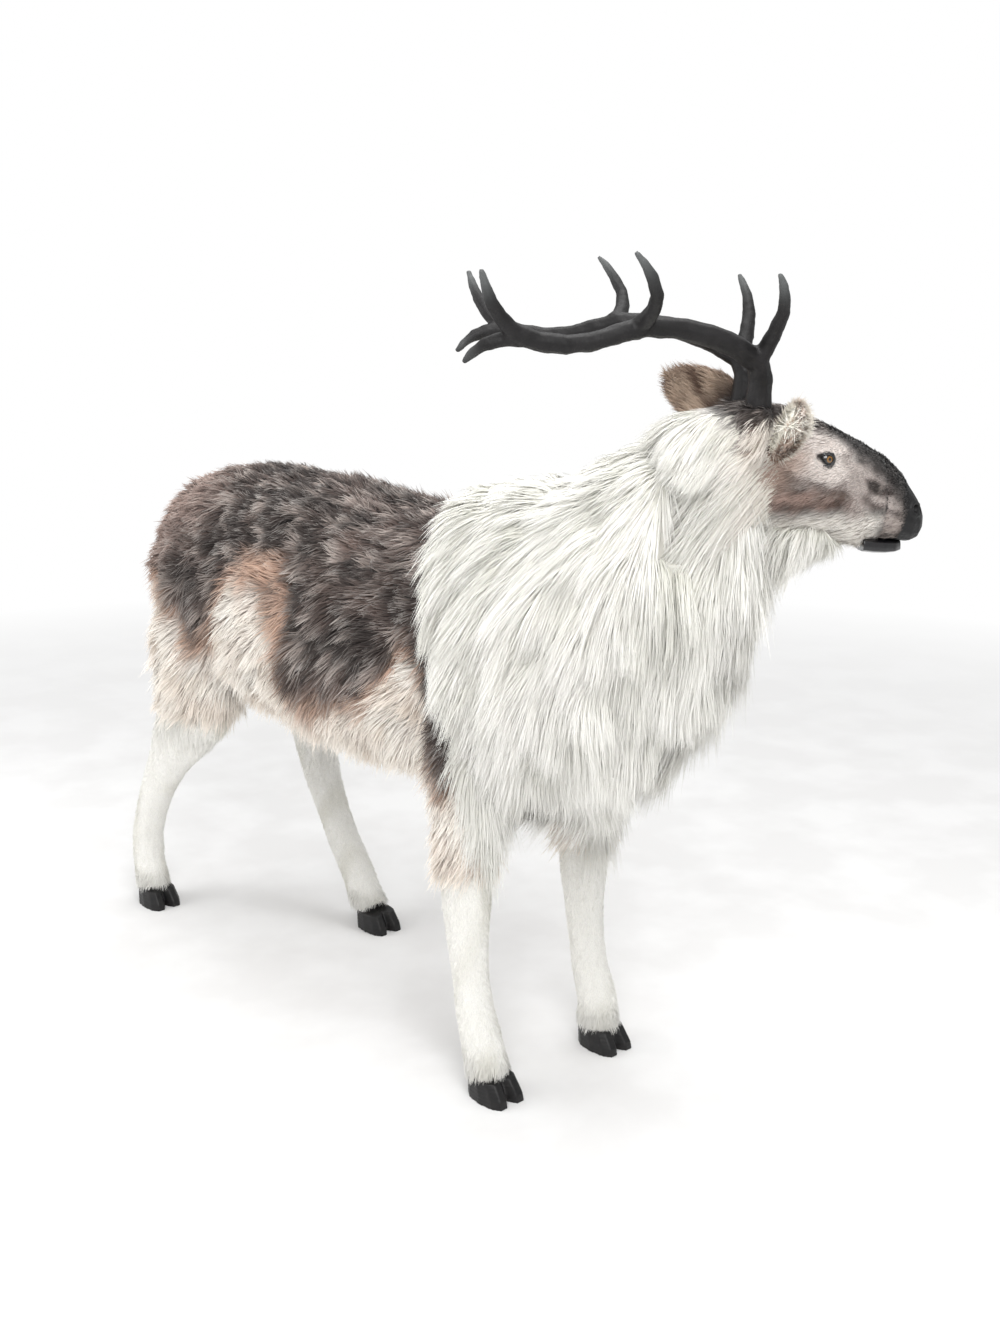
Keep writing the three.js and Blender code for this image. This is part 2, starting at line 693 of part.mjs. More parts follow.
const fitToNeck = (part) => part.intersect(napeLimit()).subtract(headHollow());
const headShape = (grow) => fitToNeck(headSkin(grow));

const eyePlace = (side) => V(97, side * 57, -87).multiplyScalar(hs);
const earRoot = (side) => V(18, side * 64.5, -42).multiplyScalar(hs);

function buildHead() {
  const a = axisInHead;
  const inner = sleeveThickness + softSeat;
  const plateLow = a.z + stubTop + turnClearance + 4;
  const stemFoot = neckTubeTop - headAxis.z + a.z - bushLength + 6;
  const stemMiddle = V(a.x, 0, (stemFoot + plateLow + 1) / 2);
  const stem = cylinder(stemRadius, stemRadius, plateLow + 1 - stemFoot, stemMiddle, 16);
  const plateCentre = V(a.x, 0, plateLow + stemPlateThickness / 2);
  const plate = cylinder(stemPlateRadius, stemPlateRadius, stemPlateThickness, plateCentre, 20);
  const bushTop = neckTubeTop + seat + washerThickness - headAxis.z + a.z;
  const washerTop = plateLow - seat;
  const washerCentre = V(a.x, 0, (bushTop + seat + washerTop) / 2);
  const washerHeight = washerTop - bushTop - seat;
  const washer = cylinder(neckTubeRadius, neckTubeRadius, washerHeight, washerCentre, 16)
    .subtract(cylinder(stemRadius + seat, stemRadius + seat, 100, washerCentre, 16));
  add('head_stem', stem.add(plate), 'steel', headGroup);
  add('thrust_washer', washer, 'nylon', headGroup);

  const plateRoom = cylinder(stemPlateRadius + seat, stemPlateRadius + seat, stemPlateThickness + 2 * seat, plateCentre, 20);
  const stemRoom = cylinder(neckTubeRadius + 2, neckTubeRadius + 2, 200, V(a.x, 0, plateLow - 100 + seat), 16);
  const ahead = aheadOf(muzzleStart);
  let skull = headShape(-inner).subtract(ahead).subtract(plateRoom).subtract(stemRoom);
  let cover = fitToNeck(headSkin(0).subtract(headSkin(-sleeveThickness))).subtract(aheadOf(muzzleStart - seat));
  for (const side of [-1, 1]) {
    const eyeRoom = ellipsoid(V(1, 1, 1).multiplyScalar(eyeRadius + seat), eyePlace(side), 10, 6);
    const lidRoom = ellipsoid(V(1, 1, 1).multiplyScalar(eyeRadius + lidThickness + 2 * seat), eyePlace(side), 10, 6);
    const antlerHole = cylinder(pegRadius + socketWall + seat, pegRadius + socketWall + seat, pegInSocket + 4,
      V(-antlerSetback, side * antlerSpacing, pedicleTop - pegInSocket / 2 - 1), 16);
    skull = skull.subtract(eyeRoom).subtract(antlerHole).subtract(earSocket(side));
    cover = cover.subtract(lidRoom).subtract(antlerHole).subtract(earSocket(side));
  }
  add('skull_form', mainBody(skull.subtract(cover)), 'foam', headGroup);
  add('face_cover', mainBody(cover), 'face', headGroup);

  const nose = headLoft(snoutStations, 6, 0).intersect(ahead);
  const nostril = (side) => ellipsoid(V(9, 7, 8).multiplyScalar(hs), V(262, side * 24, -172).multiplyScalar(hs), 8, 6);
  add('muzzle', nose.subtract(nostril(1)).subtract(nostril(-1)), 'muzzle', headGroup);
  const ruff = ellipsoid(V(82, 46, 40).multiplyScalar(hs), V(78, 0, -196).multiplyScalar(hs), 16, 10)
    .subtract(headSkin(seat)).subtract(headHollow());
  add('throat_ruff', mainBody(ruff), 'mane', headGroup);
  const lip = headLoft(lipStations, 5, 0, 10).subtract(headLoft(snoutStations, 6, seat)).subtract(headShape(seat));
  add('lower_lip', lip, 'muzzle', headGroup);

  for (const [name, side] of [['right', -1], ['left', 1]]) {
    add(`eye_${name}`, ellipsoid(V(1, 1, 1).multiplyScalar(eyeRadius), eyePlace(side), 10, 6), 'eye', headGroup);
    const ring = ellipsoid(V(1, 1, 1).multiplyScalar(eyeRadius + lidThickness), eyePlace(side), 10, 6)
      .subtract(ellipsoid(V(1, 1, 1).multiplyScalar(eyeRadius + seat), eyePlace(side), 10, 6))
      .subtract(headSkin(-sleeveThickness))
      .subtract(eyeSlit(side));
    add(`eyelid_${name}`, mainBody(ring), 'muzzle', headGroup);
    const tube = cylinder(pegRadius + socketWall, pegRadius + socketWall, pegInSocket + 3,
      V(-antlerSetback, side * antlerSpacing, pedicleTop - (pegInSocket + 3) / 2), 16);
    const bore = cylinder(pegRadius + pegClearance, pegRadius + pegClearance, pegInSocket + 1,
      V(-antlerSetback, side * antlerSpacing, pedicleTop - (pegInSocket + 1) / 2 + 0.5), 16);
    add(`antler_socket_${name}`, tube.subtract(bore), 'steel', headGroup);
  }
}

function eyeSlit(side) {
  const centre = eyePlace(side);
  return ellipsoid(V(eyeRadius * 0.9, 40, eyeRadius * 0.55), V(centre.x, centre.y + side * 30, centre.z), 8, 6);
}

// ---------------------------------------------------------------- ears

// Each ear is built pointing along +X from its root, cupped upward, and then turned into place.
const earPose = {
  right: { side: -1, swing: -94, lift: 6, roll: 66, limits: [5 - earSwing, 5] },
  left: { side: 1, swing: 159, lift: 25, roll: -74, limits: [-earSwing, 0] },
};

function earMatrix(name) {
  const pose = earPose[name];
  const turn = new THREE.Matrix4().makeRotationZ(degrees(pose.swing));
  turn.multiply(new THREE.Matrix4().makeRotationY(degrees(-pose.lift)));
  turn.multiply(new THREE.Matrix4().makeRotationX(degrees(pose.roll)));
  turn.setPosition(earRoot(pose.side));
  return turn;
}

const wireEnd = earLength * 0.72;

function earWireStraight(grow) {
  const path = [V(0, 0, 0), V(wireEnd * 0.3, 0, -earDepth * 0.3), V(wireEnd * 0.6, 0, -earDepth * 0.36), V(wireEnd, 0, -earDepth * 0.3)];
  const ball = ellipsoid(V(1, 1, 1).multiplyScalar(earBallRadius + grow), V(0, 0, 0), 12, 8);
  return rodAlong(path, earWireRadius + grow, 3, 8).add(ball);
}

const earSocket = (side) => ellipsoid(V(1, 1, 1).multiplyScalar(earBallRadius + seat), earRoot(side), 12, 8);

function buildEar(name) {
  const side = earPose[name].side;
  const middle = V(earLength * 0.54, 0, 0);
  const leaf = ellipsoid(V(earLength * 0.5, earWidth / 2, earDepth / 2), middle, 12, 8);
  const cup = ellipsoid(V(earLength * 0.46, earWidth / 2 - 4, earDepth / 2), middle.clone().add(V(6, 0, 9)), 12, 8);
  const lid = block(earLength * 2, earWidth * 2, earDepth, V(0, 0, earDepth / 2 + 4));
  const shell = leaf.subtract(cup).subtract(lid);
  const fillTop = block(earLength * 2, earWidth * 2, earDepth, V(0, 0, earDepth / 2 + 1));
  const shrunk = ellipsoid(V(earLength * 0.46 - seat, earWidth / 2 - 4 - seat, earDepth / 2 - seat),
    middle.clone().add(V(6, 0, 9)), 12, 8);
  const hollow = ellipsoid(V(earLength * 0.42, earWidth / 2 - 9, earDepth / 2 - 4), middle.clone().add(V(8, 0, 14)), 12, 8);
  const lining = shrunk.subtract(hollow).subtract(fillTop);
  const root = earRoot(side);
  const swungHead = earPose[name].limits.map((angle) => headSkin(1).translate([-root.x, -root.y, -root.z])
    .rotate([0, 0, -angle]).translate([root.x, root.y, root.z]));
  const place = (part) => {
    const posed = part.transform(earMatrix(name).toArray()).subtract(headSkin(seat));
    return mainBody(swungHead.reduce((left, skin) => left.subtract(skin), posed));
  };
  const ear = new THREE.Group();
  headGroup.add(ear);
  add(`ear_${name}`, place(shell.subtract(earWireStraight(seat))), 'coat', ear);
  add(`ear_lining_${name}`, place(lining.subtract(earWireStraight(seat))), 'lining', ear);
  add(`ear_wire_${name}`, earWireStraight(0).transform(earMatrix(name).toArray()), 'steel', ear);
}

// ---------------------------------------------------------------- antlers

const as = antlerLength / 445;

// [forward, outward, up, radius] along the beam and each tine, from the middle of the antler base.
const beam = [
  [0, 0, 0, 22],
  [2, 4, 34, 19],
  [-4, 14, 68, 19],
  [-56, 36, 100, 18],
  [-126, 56, 120, 16.5],
  [-196, 78, 124, 16],
  [-254, 100, 106, 14.5],
  [-314, 120, 101, 14.5],
  [-372, 138, 113, 15],
  [-404, 160, 141, 11.5],
  [-421, 186, 173, 9],
  [-431, 206, 205, 4],
];
const browTine = [
  [-6, 14, 70, 15],
  [8, 34, 102, 13],
  [18, 66, 144, 10.5],
  [14, 84, 176, 8],
  [4, 92, 200, 4],
];
const midTine = [
  [-198, 78, 126, 15],
  [-184, 104, 142, 12.5],
  [-180, 138, 170, 10.5],
  [-198, 162, 206, 8],
  [-217, 172, 228, 4],
];
const lowerTine = [
  [-362, 136, 110, 13],
  [-398, 136, 110, 12],
  [-431, 132, 98, 9.5],
  [-454, 124, 76, 4],
];

function tine(rows, count, side, sides) {
  const stations = refine(rows, count);
  const centres = stations.map(([x, y, z]) => V(x * as, side * y * as, z * as));
  let across = V(0, 1, 0);
  const rings = centres.map((centre, i) => {
    const along = centres[Math.min(i + 1, count - 1)].clone().sub(centres[Math.max(i - 1, 0)]).normalize();
    across = across.clone().addScaledVector(along, -across.dot(along)).normalize();
    const other = new THREE.Vector3().crossVectors(across, along).normalize();
    return ovalRing(centre, across, other, stations[i][3] * as, stations[i][3] * as, sides);
  });
  const made = loftOver(rings);
  return made.volume() < 0 ? loftOver(rings.map((ring) => ring.reverse())) : made;
}

function buildAntler(name, side) {
  const horn = tine(beam, 17, side, 8)
    .add(tine(browTine, 7, side, 8))
    .add(tine(midTine, 7, side, 8))
    .add(tine(lowerTine, 6, side, 8));
  const pegHole = cylinder(pegRadius + seat, pegRadius + seat, 2 * (pegInAntler + seat), V(0, 0, 0), 16);
  const peg = cylinder(pegRadius, pegRadius, pegInAntler + pegInSocket, V(0, 0, (pegInAntler - pegInSocket) / 2), 16);
  const antler = new THREE.Group();
  antler.position.set(-antlerSetback, side * antlerSpacing, pedicleTop + seat);
  headGroup.add(antler);
  const flat = block(100, 100, 40, V(0, 0, -20));
  add(`antler_${name}`, horn.subtract(pegHole).subtract(flat), 'antler', antler);
  add(`antler_peg_${name}`, peg, 'steel', antler);
}

// ---------------------------------------------------------------- the whole animal

buildArmature();
buildTrunk();
buildTail();
buildPouch();
buildLegs();
buildHead();
buildEar('right');
buildEar('left');
buildAntler('right', -1);
buildAntler('left', 1);

const bounds = new THREE.Box3().setFromObject(model, true);
const group = new THREE.Group();
model.position.set(-(bounds.min.x + bounds.max.x) / 2, -(bounds.min.y + bounds.max.y) / 2, -bounds.min.z);
group.add(model);

export default group;
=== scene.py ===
"""The looks of a life-size standing display reindeer: sewn skins, faux fur made of real strands,
cast antlers, hooves and muzzle, glass-like eyes, and the steel and foam that carry them.

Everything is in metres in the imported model's frame: +X to the animal's front, +Y to its left, +Z up.
"""

import json
import logging
import math
from dataclasses import dataclass
from enum import Enum
from typing import Iterable, Sequence

import bmesh
import bpy
import numpy as np
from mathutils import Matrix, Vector
from mathutils.bvhtree import BVHTree

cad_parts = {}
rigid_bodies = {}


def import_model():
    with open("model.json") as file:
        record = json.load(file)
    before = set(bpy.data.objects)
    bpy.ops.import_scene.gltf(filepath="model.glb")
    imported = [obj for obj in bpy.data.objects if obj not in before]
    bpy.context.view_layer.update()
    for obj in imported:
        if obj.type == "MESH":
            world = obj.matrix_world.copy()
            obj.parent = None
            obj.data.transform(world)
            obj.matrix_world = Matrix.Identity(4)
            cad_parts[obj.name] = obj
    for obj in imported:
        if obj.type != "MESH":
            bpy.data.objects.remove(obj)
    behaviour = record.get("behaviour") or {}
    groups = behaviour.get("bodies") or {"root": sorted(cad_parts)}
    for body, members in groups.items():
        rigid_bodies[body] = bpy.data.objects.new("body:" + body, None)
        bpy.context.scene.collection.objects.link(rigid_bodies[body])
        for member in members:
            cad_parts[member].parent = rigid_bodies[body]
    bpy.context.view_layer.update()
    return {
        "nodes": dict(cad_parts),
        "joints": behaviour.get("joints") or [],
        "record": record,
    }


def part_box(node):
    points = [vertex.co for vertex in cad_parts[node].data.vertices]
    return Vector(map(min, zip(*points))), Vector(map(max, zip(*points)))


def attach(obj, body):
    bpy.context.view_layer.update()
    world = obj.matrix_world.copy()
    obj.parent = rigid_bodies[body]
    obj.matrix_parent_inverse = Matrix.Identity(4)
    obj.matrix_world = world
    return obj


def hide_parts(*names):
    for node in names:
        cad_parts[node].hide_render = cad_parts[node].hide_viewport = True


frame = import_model()

log = logging.getLogger("reindeer")
Array = np.ndarray
Colour = tuple[float, float, float]
Socket = bpy.types.NodeSocket

TORSO = "torso"
HEAD = "head"
LEG_NAMES = ("front_right", "front_left", "hind_right", "hind_left")
SIDES = ("right", "left")
BAKE_MAP = "OFBake"


# ---------------------------------------------------------------- numbers and fields


def smoothstep(low: float, high: float, value: Array) -> Array:
    """Rises smoothly from 0 at low to 1 at high; low may be the larger.

    Args:
        low: Value that gives 0.
        high: Value that gives 1.
        value: Numbers to map.

    Returns:
        Numbers from 0 to 1.
    """
    share = np.clip((value - low) / (high - low), 0.0, 1.0)
    return share * share * (3 - 2 * share)


def blob(points: Array, centre: Sequence[float], radii: Sequence[float], edge: float = 0.35) -> Array:
    """How far points lie inside an ellipsoid with a soft edge.

    Args:
        points: Points, one a row.
        centre: Middle of the ellipsoid.
        radii: Its three radii.
        edge: Share of the radius over which it fades.

    Returns:
        1 inside, 0 outside, one number a point.
    """
    distance = np.linalg.norm((points - np.array(centre)) / np.array(radii), axis=1)
    return 1 - smoothstep(1 - edge, 1 + edge, distance)


def mixed(base: Array, other: Colour, share: Array) -> Array:
    """Blends rows of colour towards one colour by a share for each row."""
    return base + (np.array(other) - base) * share[:, None]


def unit(vectors: Array) -> Array:
    """Rows scaled to length one."""
    return vectors / np.maximum(np.linalg.norm(vectors, axis=1, keepdims=True), 1e-9)


def wobble(points: Array, size: float, seed: int) -> Array:
    """A smooth pattern between about -1 and 1 made of a few crossed waves.

    Args:
        points: Points, one a row.
        size: Rough distance between light and dark, in metres.
        seed: Picks the waves.

    Returns:
        One number a point.
    """
    dice = np.random.default_rng(seed)
    total = np.zeros(len(points))
    for _ in range(7):
        wave = dice.normal(size=3)
        wave *= dice.uniform(0.6, 1.5) * math.pi / (size * np.linalg.norm(wave))
        total += np.sin(points @ wave + dice.uniform(0, 2 * math.pi))
    return total / 3.2


# ---------------------------------------------------------------- places taken from the frame


@dataclass(frozen=True)
class Places:
    """Reference points of the animal.

    Attributes:
        chest: Point on the floor midway between the front hooves.
        pivot: Point on the head's turning axis.
        yaw: Angle that the head is turned to the left, in radians.
        brow: Height of the brow above the pivot, in metres.
        reach: Distance of the brow ahead of the turning axis.
    """

    chest: Array
    pivot: Array
    yaw: float
    brow: float = 0.125
    reach: float = 0.045

    def in_body(self, points: Array) -> Array:
        """Points measured from the floor between the front hooves, with the sides folded together."""
        local = points - self.chest
        return np.column_stack([local[:, 0], np.abs(local[:, 1]), local[:, 2]])

    def in_head(self, points: Array) -> Array:
        """Points measured from the brow, with +X to the nose and the sides folded together."""
        local = points - self.pivot
        cos, sin = math.cos(self.yaw), math.sin(self.yaw)
        ahead = local[:, 0] * cos + local[:, 1] * sin - self.reach
        across = local[:, 1] * cos - local[:, 0] * sin
        return np.column_stack([ahead, np.abs(across), local[:, 2] - self.brow])

    def turned(self, ahead: float, across: float, up: float) -> Vector:
        """A direction of the head in the frame."""
        cos, sin = math.cos(self.yaw), math.sin(self.yaw)
        return Vector((ahead * cos - across * sin, ahead * sin + across * cos, up))


def middle(node: str) -> Vector:
    """Centre of a node's box."""
    low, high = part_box(node)
    return (low + high) / 2


def find_places() -> Places:
    """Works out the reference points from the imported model."""
    chest = (middle("hoof_front_right") + middle("hoof_front_left")) / 2
    joint = next(j for j in frame["joints"] if j["name"] == "head_turn")
    pivot = np.array(joint["pos_m"], float)
    nose = middle("muzzle")
    yaw = math.atan2(nose.y - pivot[1], nose.x - pivot[0])
    return Places(chest=np.array([chest.x - 0.0099, chest.y, 0.0]), pivot=pivot, yaw=yaw)


# ---------------------------------------------------------------- node trees


class Graph:
    """Adds nodes to a node tree and links them."""

    def __init__(self, tree: bpy.types.NodeTree) -> None:
        """Keeps the tree."""
        self.tree = tree

    def node(self, kind: str, **settings: object) -> bpy.types.Node:
        """Adds a node and sets its properties."""
        made = self.tree.nodes.new(kind)
        for key, value in settings.items():
            setattr(made, key, value)
        return made

    def feed(self, target: Socket, value: object) -> None:
        """Links a socket to target, or sets target's value."""
        if isinstance(value, bpy.types.NodeSocket):
            self.tree.links.new(value, target)
        elif value is not None:
            target.default_value = value

    def math(self, operation: str, a: object, b: object = None, c: object = None) -> Socket:
        """A Math node's result."""
        made = self.node("ShaderNodeMath", operation=operation)
        for socket, value in zip(made.inputs, (a, b, c)):
            self.feed(socket, value)
        return made.outputs[0]

    def vector(self, operation: str, a: object, b: object = None, scale: object = None) -> Socket:
        """A Vector Math node's result."""
        made = self.node("ShaderNodeVectorMath", operation=operation)
        self.feed(made.inputs[0], a)
        if b is not None:
            self.feed(made.inputs[1], b)
        if scale is not None:
            self.feed(made.inputs["Scale"], scale)
        return made.outputs["Value"] if operation in ("DOT_PRODUCT", "LENGTH") else made.outputs["Vector"]

    def scaled(self, vector: object, factor: object) -> Socket:
        """A vector times a number."""
        return self.vector("SCALE", vector, scale=factor)

    def total(self, *vectors: object) -> Socket:
        """The sum of vectors."""
        result = vectors[0]
        for vector in vectors[1:]:
            result = self.vector("ADD", result, vector)
        return result

    def noise(self, vector: object, size: float, detail: float = 2.0, colour: bool = False) -> Socket:
        """A noise pattern whose features are about size metres across."""
        made = self.node("ShaderNodeTexNoise")
        self.feed(made.inputs["Vector"], vector)
        made.inputs["Scale"].default_value = 1 / size
        made.inputs["Detail"].default_value = detail
        return made.outputs["Color" if colour else 0]

    def ramp(self, value: Socket, low: float, high: float, out: tuple[float, float] = (0.0, 1.0)) -> Socket:
        """Maps value from low..high to a range, clamped."""
        made = self.node("ShaderNodeMapRange")
        for name, number in zip(("From Min", "From Max", "To Min", "To Max"), (low, high, *out)):
            made.inputs[name].default_value = number
        self.feed(made.inputs["Value"], value)
        return made.outputs["Result"]

    def mix(self, share: object, a: object, b: object, blend: str = "MIX") -> Socket:
        """Mixes two colours."""
        made = self.node("ShaderNodeMix", data_type="RGBA", blend_type=blend)
        for name, value in (("Factor_Float", share), ("A_Color", a), ("B_Color", b)):
            socket = next(s for s in made.inputs if s.identifier == name)
            self.feed(socket, (*value, 1.0) if isinstance(value, tuple) and len(value) == 3 else value)
        return next(s for s in made.outputs if s.identifier == "Result_Color")

    def attribute(self, name: str) -> bpy.types.Node:
        """A shader Attribute node."""
        return self.node("ShaderNodeAttribute", attribute_name=name)


def new_material(name: str) -> tuple[bpy.types.Material, Graph, bpy.types.Node]:
    """Makes a material with a Principled shader.

    Args:
        name: The material's name.

    Returns:
        The material, its graph and its Principled node.
    """
    material = bpy.data.materials.new(name)
    material.use_nodes = True
    graph = Graph(material.node_tree)
    return material, graph, material.node_tree.nodes["Principled BSDF"]


# ---------------------------------------------------------------- finishes


@dataclass(frozen=True)
class SolidFinish:
    """A hard or plain finish with fine mottling and grain.

    Attributes:
        name: Material name.
        colour: Main colour.
        second: Colour that it mottles towards.
        mottle: Size of the mottling, in metres.
        rough: Lowest and highest roughness.
        metal: Metalness.
        grain: Size of the surface grain, in metres.
        bump: Height of the grain, in metres.
        coat: Weight of a clear top coat.
        shine: Specular level.
    """

    name: str
    colour: Colour
    second: Colour
    mottle: float
    rough: tuple[float, float]
    metal: float = 0.0
    grain: float = 0.002
    bump: float = 0.0002
    coat: float = 0.0
    shine: float = 0.5

    def make(self) -> bpy.types.Material:
        """Builds the material."""
        material, graph, shader = new_material(self.name)
        place = graph.node("ShaderNodeTexCoord").outputs["Object"]
        patches = graph.ramp(graph.noise(place, self.mottle, 4.0), 0.35, 0.65)
        colour = graph.mix(patches, self.colour, self.second)
        graph.feed(shader.inputs["Base Color"], self.tinted(graph, colour))
        grain = graph.noise(place, self.grain, 3.0)
        graph.feed(shader.inputs["Roughness"], graph.ramp(grain, 0.3, 0.7, self.rough))
        bump = graph.node("ShaderNodeBump")
        bump.inputs["Distance"].default_value = self.bump
        graph.feed(bump.inputs["Height"], grain)
        graph.feed(shader.inputs["Normal"], bump.outputs["Normal"])
        shader.inputs["Metallic"].default_value = self.metal
        shader.inputs["Coat Weight"].default_value = self.coat
        shader.inputs["Specular IOR Level"].default_value = self.shine
        return material

    def tinted(self, graph: Graph, colour: Socket) -> Socket:
        """The colour after what a kind of finish adds; this one adds nothing."""
        return colour


@dataclass(frozen=True)
class HornFinish(SolidFinish):
    """A cast finish that pales where a piece gets slender.

    Attributes:
        tip: Colour of the slender ends.
    """

    tip: Colour = (0.10, 0.105, 0.105)

    def tinted(self, graph: Graph, colour: Socket) -> Socket:
        """Pales the slender ends, by the piece's own attribute."""
        return graph.mix(graph.attribute("slender").outputs["Fac"], colour, self.tip)


@dataclass(frozen=True)
class FurFinish:
    """A finish for strands. Each strand carries the colour of the skin that it grows from.

    Attributes:
        name: Material name.
        root: Factor on the strand's colour at its root; below 1, it is painted shade deep in the pile.
        tip: Factor on its colour at its tip; a little above 1, it is painted light on the outer ends.
        contrast: How far locks differ from one another.
        frost: Colour that the tips of grizzled strands reach.
        rough: Roughness.
    """

    name: str
    root: Colour
    tip: Colour
    contrast: float
    frost: Colour = (0.55, 0.52, 0.49)
    rough: float = 0.75

    def make(self) -> bpy.types.Material:
        """Builds the strands' material."""
        material, graph, shader = new_material(self.name)
        tint = graph.attribute("tint").outputs["Color"]
        along = graph.attribute("along").outputs["Fac"]
        lock = graph.attribute("lock").outputs["Fac"]
        chance = graph.attribute("chance").outputs["Fac"]
        grizzle = graph.attribute("grizzle").outputs["Fac"]
        # Painted shade: each strand darkens towards its root and lightens towards its tip, standing in for the shade
        # deep in the pile.
        ends = graph.mix(graph.ramp(along, 0.0, 0.75), self.root, self.tip)
        colour = graph.mix(1.0, tint, ends, "MULTIPLY")
        both = graph.math("MULTIPLY_ADD", chance, 0.35, graph.math("MULTIPLY", lock, 0.65))
        spread = graph.math("SUBTRACT", both, 0.5)
        strength = graph.math("MULTIPLY_ADD", grizzle, 1.25, self.contrast)
        level = graph.math("MAXIMUM", graph.math("MULTIPLY_ADD", spread, strength, 1.0), 0.12)
        colour = graph.vector("SCALE", colour, scale=level)
        frosted = graph.math("MULTIPLY", graph.ramp(along, 0.45, 1.0), graph.ramp(spread, -0.02, 0.3))
        colour = graph.mix(graph.math("MULTIPLY", frosted, graph.math("MULTIPLY", grizzle, 0.8)), colour, self.frost)
        graph.feed(shader.inputs["Base Color"], colour)
        shader.inputs["Roughness"].default_value = self.rough
        shader.inputs["Specular IOR Level"].default_value = 0.25
        shader.inputs["Sheen Weight"].default_value = 0.15
        return material


@dataclass(frozen=True)
class SkinFinish:
    """The knitted backing and the dense foot of the pile, in the skin's own colours.

    Attributes:
        name: Material name.
        level: Factor on the skin's colour; below 1, it is painted shade at the foot of the pile.
        nap: Size of the nap, in metres.
        bump: Height of the nap, in metres.
    """

    name: str
    level: float
    nap: float
    bump: float

    def make(self) -> bpy.types.Material:
        """Builds the skin's material."""
        material, graph, shader = new_material(self.name)
        place = graph.node("ShaderNodeTexCoord").outputs["Object"]
        tint = graph.attribute("tint").outputs["Color"]
        nap = graph.noise(place, self.nap, 5.0)
        # The level darkens the backing as painted shade at the foot of the pile; the nap varies it a little.
        level = graph.ramp(nap, 0.3, 0.7, (self.level * 0.86, self.level))
        graph.feed(shader.inputs["Base Color"], graph.scaled(tint, level))
        bump = graph.node("ShaderNodeBump")
        bump.inputs["Distance"].default_value = self.bump
        graph.feed(bump.inputs["Height"], nap)
        graph.feed(shader.inputs["Normal"], bump.outputs["Normal"])
        graph.feed(shader.inputs["Roughness"], graph.ramp(nap, 0.3, 0.7, (0.85, 1.0)))
        shader.inputs["Sheen Weight"].default_value = 0.3
        shader.inputs["Specular IOR Level"].default_value = 0.15
        return material


@dataclass(frozen=True)
class EyeFinish:
    """A glossy eye with a pupil and an iris, by the eye's own attributes.

    Attributes:
        name: Material name.
        iris: Colour in the middle of the iris.
        rim: Colour at its edge and beyond.
    """

    name: str
    iris: Colour
    rim: Colour

    def make(self) -> bpy.types.Material:
        """Builds the eye's material."""
        material, graph, shader = new_material(self.name)
        gaze = graph.attribute("gaze").outputs["Fac"]
        place = graph.node("ShaderNodeTexCoord").outputs["Object"]
        streaks = graph.noise(place, 0.0012, 3.0)
        amber = graph.mix(graph.ramp(streaks, 0.35, 0.65), self.iris, tuple(c * 0.45 for c in self.iris))
        ring = graph.mix(graph.ramp(gaze, 0.32, 0.38), amber, self.rim)
        colour = graph.mix(graph.ramp(gaze, 0.17, 0.2), (0.004, 0.004, 0.004), ring)
        graph.feed(shader.inputs["Base Color"], colour)
        shader.inputs["Roughness"].default_value = 0.06
        shader.inputs["Coat Weight"].default_value = 1.0
        shader.inputs["Coat Roughness"].default_value = 0.02
        return material


class Fur(Enum):
    """The kinds of pile."""

    # The root factors are painted shade deep in the pile; the tip factors are painted light on the outer ends.
    COAT = FurFinish("coat_pile", (0.62, 0.56, 0.54), (1.06, 1.05, 1.04), 0.3)
    MANE = FurFinish("mane_pile", (0.86, 0.86, 0.82), (1.02, 1.02, 1.02), 0.12)
    FACE = FurFinish("face_pile", (0.66, 0.61, 0.59), (1.05, 1.04, 1.04), 0.3)
    VELVET = FurFinish("velvet_pile", (0.93, 0.93, 0.91), (1.01, 1.01, 1.01), 0.08)


